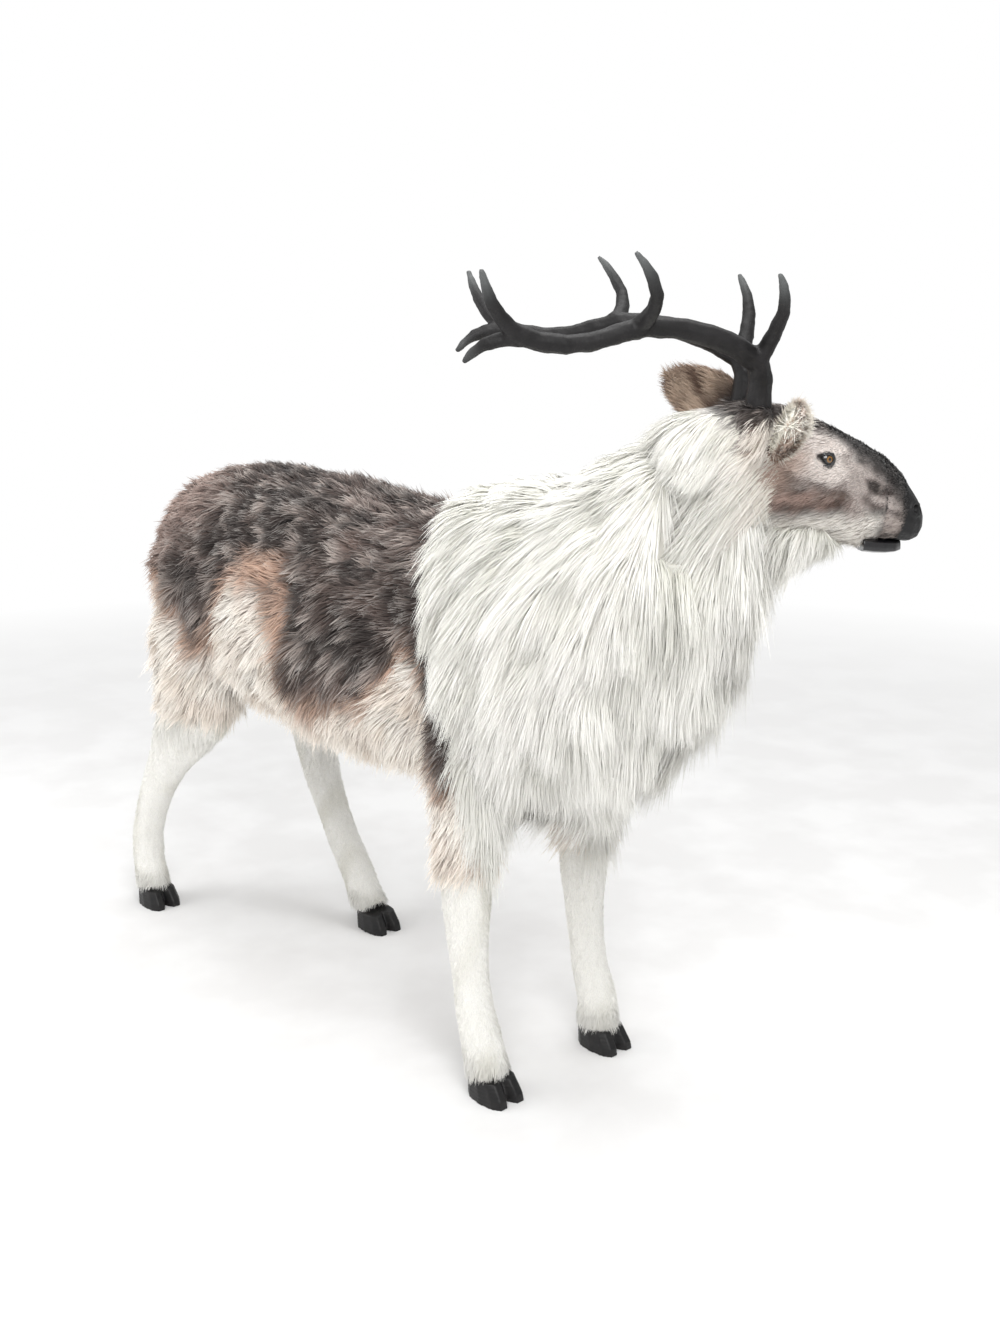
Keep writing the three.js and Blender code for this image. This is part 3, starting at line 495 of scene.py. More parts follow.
class Finish(Enum):
    """The other finishes."""

    # Levels below 1 are painted shade at the foot of the pile.
    COAT_SKIN = SkinFinish("coat_backing", 0.5, 0.006, 0.002)
    MANE_SKIN = SkinFinish("mane_backing", 0.8, 0.006, 0.002)
    FACE_SKIN = SkinFinish("face_backing", 0.75, 0.003, 0.001)
    VELVET_SKIN = SkinFinish("velvet", 1.0, 0.0025, 0.0006)
    ANTLER = HornFinish("cast_antler", (0.0055, 0.005, 0.0052), (0.011, 0.010, 0.0105), 0.03, (0.45, 0.62), grain=0.003,
                        bump=0.0006, shine=0.32)
    HOOF = SolidFinish("cast_hoof", (0.005, 0.005, 0.0055), (0.012, 0.011, 0.011), 0.02, (0.35, 0.55), grain=0.002,
                       bump=0.0003, shine=0.4)
    MUZZLE = SolidFinish("moulded_muzzle", (0.005, 0.005, 0.0055), (0.010, 0.0095, 0.010), 0.01, (0.4, 0.58),
                         grain=0.0016, bump=0.0005, shine=0.35)
    LIP = SolidFinish("moulded_lip", (0.006, 0.006, 0.007), (0.012, 0.011, 0.012), 0.01, (0.12, 0.25), grain=0.003,
                      bump=0.0002, coat=0.6)
    EYE = EyeFinish("glass_eye", (0.30, 0.14, 0.025), (0.006, 0.005, 0.005))
    STEEL = SolidFinish("mill_steel", (0.35, 0.35, 0.36), (0.22, 0.21, 0.2), 0.03, (0.35, 0.6), 0.9, 0.003, 0.0001)
    ZINC = SolidFinish("zinc_plate", (0.6, 0.6, 0.62), (0.5, 0.5, 0.48), 0.01, (0.25, 0.45), 0.95, 0.001, 0.00005)
    FOAM = SolidFinish("carved_foam", (0.80, 0.785, 0.73), (0.73, 0.71, 0.65), 0.05, (0.9, 1.0), 0.0, 0.0025, 0.0008)
    NYLON = SolidFinish("nylon", (0.8, 0.79, 0.74), (0.74, 0.73, 0.68), 0.02, (0.35, 0.5), 0.0, 0.002, 0.00005)
    # Its grey is partly the pouch's own short grey pile and partly painted shade in the fold between the thighs.
    SUEDE_AND_SHADE = SolidFinish("grey_suede_painted_shade", (0.36, 0.37, 0.38), (0.27, 0.28, 0.29), 0.012, (0.85, 1.0), 0.0, 0.002, 0.0006)


_made: dict[str, bpy.types.Material] = {}


def material(choice: Enum) -> bpy.types.Material:
    """The material of a finish, made once."""
    finish = choice.value
    if finish.name not in _made:
        _made[finish.name] = finish.make()
    return _made[finish.name]


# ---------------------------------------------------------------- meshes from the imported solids


def new_object(name: str, mesh: bpy.types.Mesh) -> bpy.types.Object:
    """Links a mesh as a new object at the origin."""
    made = bpy.data.objects.new(name, mesh)
    bpy.context.scene.collection.objects.link(made)
    return made


def baked(source: bpy.types.Object, name: str) -> bpy.types.Object:
    """A plain copy of an object with its modifiers applied; the source is removed."""
    graph = bpy.context.evaluated_depsgraph_get()
    mesh = bpy.data.meshes.new_from_object(source.evaluated_get(graph), depsgraph=graph)
    mesh.name = name
    bpy.data.objects.remove(source)
    return new_object(name, mesh)


def joined(nodes: Iterable[str]) -> bpy.types.Object:
    """One object that holds copies of several nodes' meshes, with their doubles merged."""
    work = bmesh.new()
    for node in nodes:
        work.from_mesh(frame["nodes"][node].data)
    bmesh.ops.remove_doubles(work, verts=work.verts, dist=1e-5)
    mesh = bpy.data.meshes.new("joined")
    work.to_mesh(mesh)
    work.free()
    return new_object("joined", mesh)


def keep_largest(mesh: bpy.types.Mesh) -> None:
    """Drops every part of a mesh but the one with the most vertices."""
    count = len(mesh.vertices)
    edges = np.empty(len(mesh.edges) * 2, int)
    mesh.edges.foreach_get("vertices", edges)
    first, second = edges.reshape(-1, 2).T
    label = np.arange(count)
    while True:
        lower = np.minimum(label[first], label[second])
        before = label.copy()
        np.minimum.at(label, first, lower)
        np.minimum.at(label, second, lower)
        label = label[label]
        if np.array_equal(label, before):
            break
    names, sizes = np.unique(label, return_counts=True)
    keep = label == names[sizes.argmax()]
    work = bmesh.new()
    work.from_mesh(mesh)
    work.verts.ensure_lookup_table()
    bmesh.ops.delete(work, geom=[v for v in work.verts if not keep[v.index]], context="VERTS")
    work.to_mesh(mesh)
    work.free()


def remeshed(nodes: Iterable[str], name: str, voxel: float, smoothing: int) -> bpy.types.Object:
    """A fine, smooth outer surface round several nodes.

    Args:
        nodes: CAD nodes that the surface wraps.
        name: Name of the new object.
        voxel: Size of its faces, in metres.
        smoothing: Number of smoothing steps.

    Returns:
        The new object, a closed mesh.
    """
    source = joined(nodes)
    remesh = source.modifiers.new("remesh", "REMESH")
    remesh.mode = "VOXEL"
    remesh.voxel_size = voxel
    if smoothing:
        smooth = source.modifiers.new("smooth", "SMOOTH")
        smooth.factor = 0.5
        smooth.iterations = smoothing
    made = baked(source, name)
    keep_largest(made.data)
    made.data.shade_smooth()
    return made


def vertices_of(mesh: bpy.types.Mesh) -> Array:
    """A mesh's vertices, one a row."""
    flat = np.empty(len(mesh.vertices) * 3, np.float32)
    mesh.vertices.foreach_get("co", flat)
    return flat.reshape(-1, 3).astype(float)


def normals_of(mesh: bpy.types.Mesh) -> Array:
    """A mesh's vertex normals, one a row."""
    flat = np.empty(len(mesh.vertices) * 3, np.float32)
    mesh.vertices.foreach_get("normal", flat)
    return flat.reshape(-1, 3).astype(float)


def store(mesh: bpy.types.Mesh, name: str, values: Array) -> None:
    """Stores a number, vector or colour for each vertex."""
    values = np.asarray(values, np.float32)
    if values.ndim == 1:
        mesh.attributes.new(name, "FLOAT", "POINT").data.foreach_set("value", values)
    elif name == "tint":
        colours = np.column_stack([values, np.ones(len(values), np.float32)])
        mesh.attributes.new(name, "FLOAT_COLOR", "POINT").data.foreach_set("color", colours.ravel())
    else:
        mesh.attributes.new(name, "FLOAT_VECTOR", "POINT").data.foreach_set("vector", values.ravel())


def nearest_of(points: Array, nodes: Sequence[str]) -> Array:
    """For each point, which of the nodes lies nearest.

    Args:
        points: Points, one a row.
        nodes: Node names.

    Returns:
        The place in nodes of the nearest one, for each point.
    """
    distances = []
    for node in nodes:
        mesh = frame["nodes"][node].data
        polygons = [tuple(p.vertices) for p in mesh.polygons]
        tree = BVHTree.FromPolygons([v.co for v in mesh.vertices], polygons)
        distances.append([tree.find_nearest(p)[3] for p in points])
    return np.argmin(np.array(distances), axis=0)


def part_of(source: bpy.types.Object, keep: Array, name: str) -> bpy.types.Object:
    """A new object with the faces of source that keep marks."""
    made = new_object(name, source.data.copy())
    made.data.name = name
    work = bmesh.new()
    work.from_mesh(made.data)
    work.faces.ensure_lookup_table()
    bmesh.ops.delete(work, geom=[f for f in work.faces if not keep[f.index]], context="FACES")
    work.to_mesh(made.data)
    work.free()
    return made


def face_centres(mesh: bpy.types.Mesh) -> Array:
    """The middle of each face."""
    flat = np.empty(len(mesh.polygons) * 3, np.float32)
    mesh.polygons.foreach_get("center", flat)
    return flat.reshape(-1, 3).astype(float)


def thicken(skin: bpy.types.Object, thickness: float) -> bpy.types.Object:
    """Gives an open skin an inner side and closed edges."""
    solidify = skin.modifiers.new("thickness", "SOLIDIFY")
    solidify.thickness = thickness
    solidify.offset = -1.0
    return baked(skin, skin.name)


# ---------------------------------------------------------------- fur


@dataclass
class Pelt:
    """What grows on a skin, for each of its vertices.

    Attributes:
        tint: Colour.
        way: Direction in which the hair is combed.
        length: Length of the hair, in metres.
        lift: How steeply it stands off the skin, from 0 to 1.
        cover: How densely it grows, from 0 to 1.
        grizzle: How strongly dark and light strands mix, from 0 to 1.
    """

    tint: Array
    way: Array
    length: Array
    lift: Array
    cover: Array
    grizzle: Array

    def put_on(self, skin: bpy.types.Object) -> None:
        """Stores the pelt on the skin's vertices."""
        normals = normals_of(skin.data)
        way = unit(self.way - normals * np.sum(self.way * normals, axis=1, keepdims=True))
        for name, values in (("tint", self.tint), ("way", way), ("reach", self.length), ("lift", self.lift),
                             ("cover", self.cover), ("grizzle", self.grizzle)):
            store(skin.data, name, values)


@dataclass(frozen=True)
class Groom:
    """How the strands of one piece are made.

    Attributes:
        strands: Number of strands.
        rows: Cross rows of points in a strand, root and tip included.
        width: Width of a strand at its root, in metres.
        droop: Share of its length that a tip falls.
        clump: How far tips draw together, from 0 to 1.
        lock: Size of a lock, in metres.
        wave: Sideways wave as a share of the length.
        stray: Random lean of single strands as a share of the length.
        seed: Seed of the random draws.
    """

    strands: int
    rows: int = 3
    width: float = 0.003
    droop: float = 0.1
    clump: float = 0.5
    lock: float = 0.016
    wave: float = 0.15
    stray: float = 0.12
    seed: int = 1


SCRATCH = ("way", "reach", "lift", "cover", "root", "up_way", "gather", "number")
MOST_TRIANGLES = 199_000


class FurTree:
    """The geometry node tree that grows strands on a skin."""

    INPUTS = (("Density", "NodeSocketFloat"), ("Width", "NodeSocketFloat"), ("Droop", "NodeSocketFloat"),
              ("Clump", "NodeSocketFloat"), ("Lock Size", "NodeSocketFloat"), ("Wave", "NodeSocketFloat"),
              ("Stray", "NodeSocketFloat"), ("Rows", "NodeSocketInt"), ("Seed", "NodeSocketInt"))

    def __init__(self, pile: bpy.types.Material) -> None:
        """Builds the tree for strands of one material."""
        self.tree = bpy.data.node_groups.new(f"{pile.name}_strands", "GeometryNodeTree")
        self.graph = Graph(self.tree)
        self.ids: dict[str, str] = {}
        self.tree.interface.new_socket("Skin", in_out="INPUT", socket_type="NodeSocketGeometry")
        for name, kind in self.INPUTS:
            socket = self.tree.interface.new_socket(name, in_out="INPUT", socket_type=kind)
            self.ids[name] = socket.identifier
        self.tree.interface.new_socket("Strands", in_out="OUTPUT", socket_type="NodeSocketGeometry")
        self.entry = self.graph.node("NodeGroupInput")
        points = self.plant()
        hairs = self.raise_strands(points)
        setter = self.graph.node("GeometryNodeSetMaterial")
        self.graph.feed(setter.inputs["Geometry"], hairs)
        setter.inputs["Material"].default_value = pile
        leave = self.graph.node("NodeGroupOutput")
        self.graph.feed(leave.inputs[0], setter.outputs[0])

    def named(self, name: str, kind: str = "FLOAT") -> Socket:
        """A field that reads a stored attribute."""
        made = self.graph.node("GeometryNodeInputNamedAttribute", data_type=kind)
        made.inputs["Name"].default_value = name
        return made.outputs["Attribute"]

    def keep(self, geometry: Socket, name: str, value: object, kind: str = "FLOAT", domain: str = "POINT") -> Socket:
        """Stores a field on the geometry."""
        made = self.graph.node("GeometryNodeStoreNamedAttribute", data_type=kind, domain=domain)
        made.inputs["Name"].default_value = name
        self.graph.feed(made.inputs["Geometry"], geometry)
        self.graph.feed(made.inputs["Value"], value)
        return made.outputs["Geometry"]

    def random(self, low: float, high: float, salt: int) -> Socket:
        """A random number for each strand."""
        made = self.graph.node("FunctionNodeRandomValue", data_type="FLOAT")
        numbers = [s for s in made.inputs if s.enabled]
        self.graph.feed(numbers[0], low)
        self.graph.feed(numbers[1], high)
        seed = self.graph.math("ADD", self.entry.outputs["Seed"], float(salt))
        self.graph.feed(made.inputs["Seed"], seed)
        return next(s for s in made.outputs if s.enabled)

    def plant(self) -> Socket:
        """Scatters the roots and stores on each what its strand needs."""
        graph, entry = self.graph, self.entry.outputs
        scatter = graph.node("GeometryNodeDistributePointsOnFaces", distribute_method="RANDOM")
        graph.feed(scatter.inputs["Mesh"], entry["Skin"])
        graph.feed(scatter.inputs["Density"], graph.math("MULTIPLY", entry["Density"], self.named("cover")))
        graph.feed(scatter.inputs["Seed"], entry["Seed"])
        place = graph.node("GeometryNodeInputPosition").outputs[0]
        cells = graph.node("ShaderNodeTexVoronoi")
        graph.feed(cells.inputs["Vector"], place)
        graph.feed(cells.inputs["Scale"], graph.math("DIVIDE", 1.0, entry["Lock Size"]))
        lock = graph.vector("DOT_PRODUCT", cells.outputs["Color"], (0.4, 0.3, 0.3))
        patch = graph.ramp(graph.noise(place, 0.035, 3.0), 0.3, 0.7)
        lock = graph.math("MULTIPLY_ADD", patch, 0.55, graph.math("MULTIPLY", lock, 0.45))
        gather = graph.vector("SUBTRACT", cells.outputs["Position"], place)
        length = graph.math("MULTIPLY", self.named("reach"), self.random(0.72, 1.12, 3))
        points = scatter.outputs["Points"]
        points = self.keep(points, "reach", length)
        points = self.keep(points, "root", place, "FLOAT_VECTOR")
        points = self.keep(points, "up_way", scatter.outputs["Normal"], "FLOAT_VECTOR")
        points = self.keep(points, "gather", gather, "FLOAT_VECTOR")
        points = self.keep(points, "lock", lock)
        points = self.keep(points, "chance", self.random(0.0, 1.0, 5))
        return self.keep(points, "number", graph.node("GeometryNodeInputIndex").outputs[0])

    def raise_strands(self, points: Socket) -> Socket:
        """Puts a flat strand on each root and bends it into shape."""
        graph, entry = self.graph, self.entry.outputs
        blade = graph.node("GeometryNodeMeshGrid")
        blade.inputs["Size X"].default_value = 1.0
        blade.inputs["Size Y"].default_value = 1.0
        blade.inputs["Vertices X"].default_value = 2
        graph.feed(blade.inputs["Vertices Y"], entry["Rows"])
        place = graph.node("GeometryNodeInputPosition").outputs[0]
        split = graph.node("ShaderNodeSeparateXYZ")
        graph.feed(split.inputs[0], place)
        strand = self.keep(blade.outputs["Mesh"], "side", split.outputs["X"])
        strand = self.keep(strand, "along", graph.math("ADD", split.outputs["Y"], 0.5))
        onto = graph.node("GeometryNodeInstanceOnPoints")
        graph.feed(onto.inputs["Points"], points)
        graph.feed(onto.inputs["Instance"], strand)
        real = graph.node("GeometryNodeRealizeInstances")
        graph.feed(real.inputs["Geometry"], onto.outputs["Instances"])
        move = graph.node("GeometryNodeSetPosition")
        graph.feed(move.inputs["Geometry"], real.outputs["Geometry"])
        graph.feed(move.inputs["Position"], self.bent())
        mapped = self.keep(move.outputs["Geometry"], BAKE_MAP, self.cell(points), "FLOAT2", "CORNER")
        smooth = graph.node("GeometryNodeSetShadeSmooth")
        graph.feed(smooth.inputs["Geometry"], mapped)
        return smooth.outputs["Geometry"]

    def bent(self) -> Socket:
        """The place of each point of a strand."""
        graph, entry = self.graph, self.entry.outputs
        along, side = self.named("along"), self.named("side")
        root, length = self.named("root", "FLOAT_VECTOR"), self.named("reach")
        way, normal = self.named("way", "FLOAT_VECTOR"), self.named("up_way", "FLOAT_VECTOR")
        way = graph.vector("NORMALIZE", way)
        run = graph.math("MULTIPLY", along, length)
        square = graph.math("MULTIPLY", along, along)
        curve = graph.math("SUBTRACT", graph.math("MULTIPLY", along, 1.5), graph.math("MULTIPLY", square, 0.55))
        rise = graph.math("MULTIPLY", graph.math("MULTIPLY", curve, length), self.named("lift"))
        fall = graph.math("MULTIPLY", graph.math("MULTIPLY", square, length), entry["Droop"])
        gather = graph.scaled(self.named("gather", "FLOAT_VECTOR"),
                              graph.math("MULTIPLY", entry["Clump"], graph.math("POWER", along, 1.3)))
        wind = graph.vector("SUBTRACT", graph.noise(root, 0.07, 1.0, colour=True), (0.5, 0.5, 0.5))
        wave = graph.scaled(wind, graph.math("MULTIPLY", graph.math("MULTIPLY", run, entry["Wave"]), 4.0))
        lean = graph.vector("SUBTRACT", graph.noise(root, 0.0012, 0.0, colour=True), (0.5, 0.5, 0.5))
        lean = graph.scaled(lean, graph.math("MULTIPLY", graph.math("MULTIPLY", run, entry["Stray"]), 4.0))
        across = graph.vector("NORMALIZE", graph.vector("CROSS_PRODUCT", way, normal))
        roll = graph.math("MULTIPLY", graph.math("SUBTRACT", self.named("chance"), 0.5), 1.6)
        across = graph.total(graph.scaled(across, graph.math("COSINE", roll)),
                             graph.scaled(normal, graph.math("SINE", roll)))
        taper = graph.math("SUBTRACT", 1.0, graph.math("MULTIPLY", graph.math("POWER", along, 1.5), 0.9))
        width = graph.math("MULTIPLY", graph.math("MULTIPLY", side, entry["Width"]), taper)
        return graph.total(root, graph.scaled(way, run), graph.scaled(normal, rise),
                           graph.scaled((0.0, 0.0, -1.0), fall), gather, wave, lean, graph.scaled(across, width))

    def cell(self, points: Socket) -> Socket:
        """A place of its own for each strand on the bake's map."""
        graph = self.graph
        size = graph.node("GeometryNodeAttributeDomainSize", component="POINTCLOUD")
        graph.feed(size.inputs["Geometry"], points)
        columns = graph.math("CEIL", graph.math("SQRT", size.outputs["Point Count"]))
        number = self.named("number")
        row = graph.math("FLOOR", graph.math("DIVIDE", graph.math("ADD", number, 0.5), columns))
        column = graph.math("SUBTRACT", number, graph.math("MULTIPLY", row, columns))
        u = graph.math("ADD", column, graph.math("MULTIPLY_ADD", self.named("side"), 0.8, 0.5))
        v = graph.math("ADD", row, graph.math("MULTIPLY_ADD", self.named("along"), 0.9, 0.05))
        both = graph.node("ShaderNodeCombineXYZ")
        graph.feed(both.inputs["X"], graph.math("DIVIDE", u, columns))
        graph.feed(both.inputs["Y"], graph.math("DIVIDE", v, columns))
        return both.outputs[0]


_trees: dict[str, FurTree] = {}


def grow(skin: bpy.types.Object, name: str, pile: Fur, groom: Groom, keep: Array | None = None) -> bpy.types.Object:
    """Grows strands on a skin, or on some of its faces.

    Args:
        skin: The skin, which carries a pelt.
        name: Name of the piece.
        pile: The strands' finish.
        groom: How they are made.
        keep: Marks the faces that they grow on; all of them if left out.

    Returns:
        The strands as a plain mesh.
    """
    made_of = material(pile)
    tree = _trees.setdefault(made_of.name, None) or FurTree(made_of)
    _trees[made_of.name] = tree
    every = np.ones(len(skin.data.polygons), bool)
    ground = part_of(skin, every if keep is None else keep, name)
    modifier = ground.modifiers.new("strands", "NODES")
    modifier.node_group = tree.tree
    density = groom.strands / max(covered_area(ground.data), 1e-6)
    values = {"Density": density, "Width": groom.width, "Droop": groom.droop, "Clump": groom.clump,
              "Lock Size": groom.lock, "Wave": groom.wave, "Stray": groom.stray, "Rows": groom.rows,
              "Seed": groom.seed}
    for key, value in values.items():
        modifier[tree.ids[key]] = value
    made = baked(ground, name)
    for attribute in [a.name for a in made.data.attributes if a.name in SCRATCH]:
        made.data.attributes.remove(made.data.attributes[attribute])
    triangles = sum(len(p.vertices) - 2 for p in made.data.polygons)
    log.info("%s: %d triangles", name, triangles)
    if triangles > MOST_TRIANGLES:
        log.warning("%s is over the limit", name)
    return made


def covered_area(mesh: bpy.types.Mesh) -> float:
    """Area of a skin in square metres, weighted by how densely hair grows on it."""
    cover = np.empty(len(mesh.vertices), np.float32)
    mesh.attributes["cover"].data.foreach_get("value", cover)
    return float(sum(p.area * cover[list(p.vertices)].mean() for p in mesh.polygons))


def finish_piece(piece: bpy.types.Object, body: str, slot: str, *replaced: str) -> None:
    """Makes a piece ride on its body and hides the nodes that it stands for."""
    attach(piece, body)
    if replaced:
        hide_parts(*replaced)
    log.info("piece %s rides on %s", piece.name, body)


def dress(piece: bpy.types.Object, choice: Enum) -> None:
    """Gives a piece one material."""
    piece.data.materials.clear()
    piece.data.materials.append(material(choice))


# ---------------------------------------------------------------- the trunk


DARK = (0.042, 0.033, 0.030)
RUMP = (0.42, 0.31, 0.27)
TAN = (0.60, 0.41, 0.31)
FROST = (0.40, 0.35, 0.32)
CREAM = (0.82, 0.76, 0.69)
BELLY = (0.85, 0.83, 0.78)
MANE = (0.875, 0.865, 0.83)
# Painted shade: the grey-olive of the shadow streaks between the pale locks.
MANE_PAINTED_SHADE = (0.60, 0.595, 0.54)
VELVET = (0.86, 0.85, 0.815)


@dataclass(frozen=True)
class TrunkSizes:
    """Sizes of the trunk's skins and pile.

    Attributes:
        voxel: Size of the skins' faces, in metres.
        backing: Thickness of the skins.
        coat_strands: Strands on each piece of the coat.
        coat_pieces: Number of coat pieces.
        mane_strands: Strands on each piece of the mane.
        mane_pieces: Number of mane pieces.
    """

    voxel: float = 0.012
    backing: float = 0.003
    coat_strands: int = 35_500
    coat_pieces: int = 3
    mane_strands: int = 22_000
    mane_pieces: int = 4


class Trunk:
    """The trunk and neck: two sewn skins with long pile over the carved foam."""

    FORMS = ("trunk_form_left", "trunk_form_right", "neck_form", "leg_form_front_left", "leg_form_front_right",
             "leg_form_hind_left", "leg_form_hind_right")
    EDGE_AT = (-1.30, -1.06, -0.98, -0.90, -0.84, -0.78, -0.70, -0.62, -0.575, -0.545, -0.50, -0.43, -0.35, -0.28,
               -0.24, -0.19, -0.15, -0.125, -0.11, -0.06, -0.03, 0.20)
    EDGE_UP = (0.86, 0.82, 0.76, 0.72, 0.74, 0.85, 0.885, 0.88, 0.80, 0.70, 0.685, 0.69, 0.715, 0.70, 0.765, 0.825,
               0.845, 0.80, 0.64, 0.60, 0.70, 0.75)

    def __init__(self, places: Places, sizes: TrunkSizes) -> None:
        """Keeps the reference points and sizes."""
        self.places = places
        self.sizes = sizes

    def build(self) -> None:
        """Builds both skins and all their pile."""
        sleeves = tuple(f"leg_sleeve_{leg}" for leg in LEG_NAMES)
        hull = remeshed(("coat_cover", "mane_cover", *self.FORMS, *sleeves), "hull", self.sizes.voxel, 6)
        names = ("coat_cover", "mane_cover", *sleeves, *self.FORMS)
        nearest = nearest_of(face_centres(hull.data), names)
        coat = part_of(hull, nearest == 0, "coat_skin")
        mane = part_of(hull, nearest == 1, "mane_skin")
        bpy.data.objects.remove(hull)
        self.coat_pelt(coat).put_on(coat)
        self.mane_pelt(mane).put_on(mane)
        self.cover_with(coat, Fur.COAT, "coat_pile", 0, self.sizes.coat_pieces,
                        Groom(self.sizes.coat_strands, 3, 0.0028, 0.15, 0.6, 0.024, 0.32, 0.22, 11))
        self.cover_with(mane, Fur.MANE, "mane_pile", 2, self.sizes.mane_pieces,
                        Groom(self.sizes.mane_strands, 4, 0.0021, 0.3, 0.6, 0.03, 0.3, 0.14, 31))
        self.close(coat, Finish.COAT_SKIN, "coat", "coat_cover")
        self.close(mane, Finish.MANE_SKIN, "mane", "mane_cover")

    def close(self, skin: bpy.types.Object, choice: Finish, slot: str, node: str) -> None:
        """Gives a skin its thickness and finish."""
        made = thicken(skin, self.sizes.backing)
        dress(made, choice)
        finish_piece(made, TORSO, slot, node)

    def cover_with(self, skin: bpy.types.Object, pile: Fur, name: str, axis: int, count: int, groom: Groom) -> None:
        """Grows pile in bands along an axis, each band a piece."""
        centres = face_centres(skin.data)[:, axis]
        marks = np.quantile(centres, np.linspace(0, 1, count + 1))
        marks[-1] += 1.0
        for band in range(count):
            keep = (centres >= marks[band]) & (centres < marks[band + 1])
            values = {**groom.__dict__, "seed": groom.seed + band}
            piece = grow(skin, f"{name}_{band + 1}", pile, Groom(**values), keep)
            finish_piece(piece, TORSO, name.split("_")[0])

    def coat_tint(self, points: Array) -> tuple[Array, Array]:
        """Colour and grizzle of the coat, for points given from the chest."""
        drift = np.column_stack([wobble(points, 0.07, 3), np.zeros(len(points)), wobble(points, 0.06, 4)]) * 0.010
        ragged = wobble(points * np.array([1.0, 1.0, 0.35]), 0.03, 5) * 0.012
        x, y, z = (points + drift).T
        spot = np.column_stack([x, y, z])
        edge = np.interp(x, self.EDGE_AT, self.EDGE_UP) + ragged
        light = 1 - smoothstep(-0.018, 0.018, z - edge)
        band = np.exp(-(((z - edge) - 0.012) / 0.026) ** 2)
        tint = np.tile(np.array(DARK), (len(points), 1))
        pale = 0.5 + 0.5 * wobble(points, 0.05, 6)
        tint = mixed(tint, RUMP, np.clip(0.20 * pale * smoothstep(0.2, 0.8, pale), 0, 1))
        tufts = smoothstep(0.25, 0.95, wobble(points * np.array([0.7, 1.0, 1.0]), 0.022, 7))
        tint = mixed(tint, FROST, 0.75 * tufts)
        tint = mixed(tint, RUMP, 0.6 * blob(spot, (-1.06, 0.09, 1.02), (0.17, 0.15, 0.10), 0.6))
        tint = mixed(tint, RUMP, 0.65 * blob(spot, (-1.17, 0.10, 0.90), (0.10, 0.16, 0.16), 0.6))
        tint = mixed(tint, TAN, 0.9 * blob(spot, (-0.62, 0.19, 0.935), (0.07, 0.12, 0.035), 0.6))
        tint = mixed(tint, TAN, 0.8 * blob(spot, (-0.565, 0.20, 0.83), (0.032, 0.12, 0.10), 0.6))
        tint = mixed(tint, TAN, 0.75 * band)
        cream = np.clip(0.5 + 0.5 * wobble(points, 0.06, 8), 0, 1)
        pale_side = np.array(CREAM) + (np.array(BELLY) - np.array(CREAM)) * cream[:, None]
        tint = tint + (pale_side - tint) * light[:, None]
        shade = np.clip(wobble(points, 0.045, 9) - 0.35, 0, 1) * light * smoothstep(0.50, 0.62, z)
        tint = mixed(tint, (0.42, 0.33, 0.24), 0.55 * shade)
        under = 1 - smoothstep(0.035, 0.075, y)
        tint = mixed(tint, BELLY, under * (1 - smoothstep(0.62, 0.70, z)))
        return tint, np.clip(1 - light, 0.08, 1.0)

    def coat_pelt(self, skin: bpy.types.Object) -> Pelt:
        """The coat's colours, combing and lengths."""
        points = self.places.in_body(vertices_of(skin.data))
        x, _, z = points.T
        tint, grizzle = self.coat_tint(points)
        low = 1 - smoothstep(0.62, 0.98, z)
        rump = smoothstep(-1.08, -1.20, x)
        way = np.column_stack([-0.95 + 0.35 * low + 0.8 * rump, 0.30 * wobble(points, 0.06, 15),
                               -0.22 - 0.85 * low - 1.2 * rump])
        way = way + 0.38 * np.column_stack([wobble(points, 0.05, 16), np.zeros(len(x)), wobble(points, 0.05, 17)])
        legs = 1 - smoothstep(0.56, 0.66, z)
        length = 0.034 + 0.022 * low - 0.012 * legs + 0.006 * wobble(points, 0.08, 12)
        lift = 0.40 + 0.12 * wobble(points, 0.05, 13) - 0.08 * legs
        return Pelt(tint, way, np.maximum(length, 0.02), np.clip(lift, 0.15, 0.6), np.ones(len(x)), grizzle)

    def mane_pelt(self, skin: bpy.types.Object) -> Pelt:
        """The mane's colours, combing and lengths."""
        world = vertices_of(skin.data)
        points = self.places.in_body(world)
        x, _, z = points.T
        # Painted shade: the streaks darken the mane towards grey-olive where shadow falls between the locks.
        streaks = np.clip(0.5 + 0.6 * wobble(world * np.array([1.0, 1.0, 0.3]), 0.03, 21), 0, 1)
        tint = mixed(np.tile(np.array(MANE), (len(x), 1)), MANE_PAINTED_SHADE, 0.6 * streaks ** 1.8)
        top = smoothstep(1.06, 1.16, z)
        normals = normals_of(skin.data)
        swirl = wobble(world, 0.14, 22)
        rear = 1 - smoothstep(-0.13, 0.03, x)
        back = np.clip(0.55 - 0.9 * np.clip(normals[:, 0], 0, 1), -0.2, 0.6) * (1 - 0.8 * rear)
        side = 0.30 * wobble(world, 0.09, 25)
        way = np.column_stack([side - back - 0.5 * top, 0.32 * swirl, -0.95 + 0.2 * top])
        length = 0.088 + 0.02 * (1 - smoothstep(0.6, 0.8, z)) - 0.03 * top + 0.014 * wobble(world, 0.06, 23)
        length = length * (1 - 0.42 * rear)
        lift = 0.30 + 0.08 * wobble(world, 0.07, 24)
        return Pelt(tint, way, np.maximum(length, 0.04), np.clip(lift, 0.15, 0.5), np.ones(len(x)), np.zeros(len(x)))


# ---------------------------------------------------------------- legs and hooves


@dataclass(frozen=True)
class LegSizes:
    """Sizes of a leg's velvet.

    Attributes:
        voxel: Size of the sleeve's faces, in metres.
        backing: Thickness of the sleeve.
        strands: Strands of nap on a leg.
    """

    voxel: float = 0.006
    backing: float = 0.002
    strands: int = 9_000


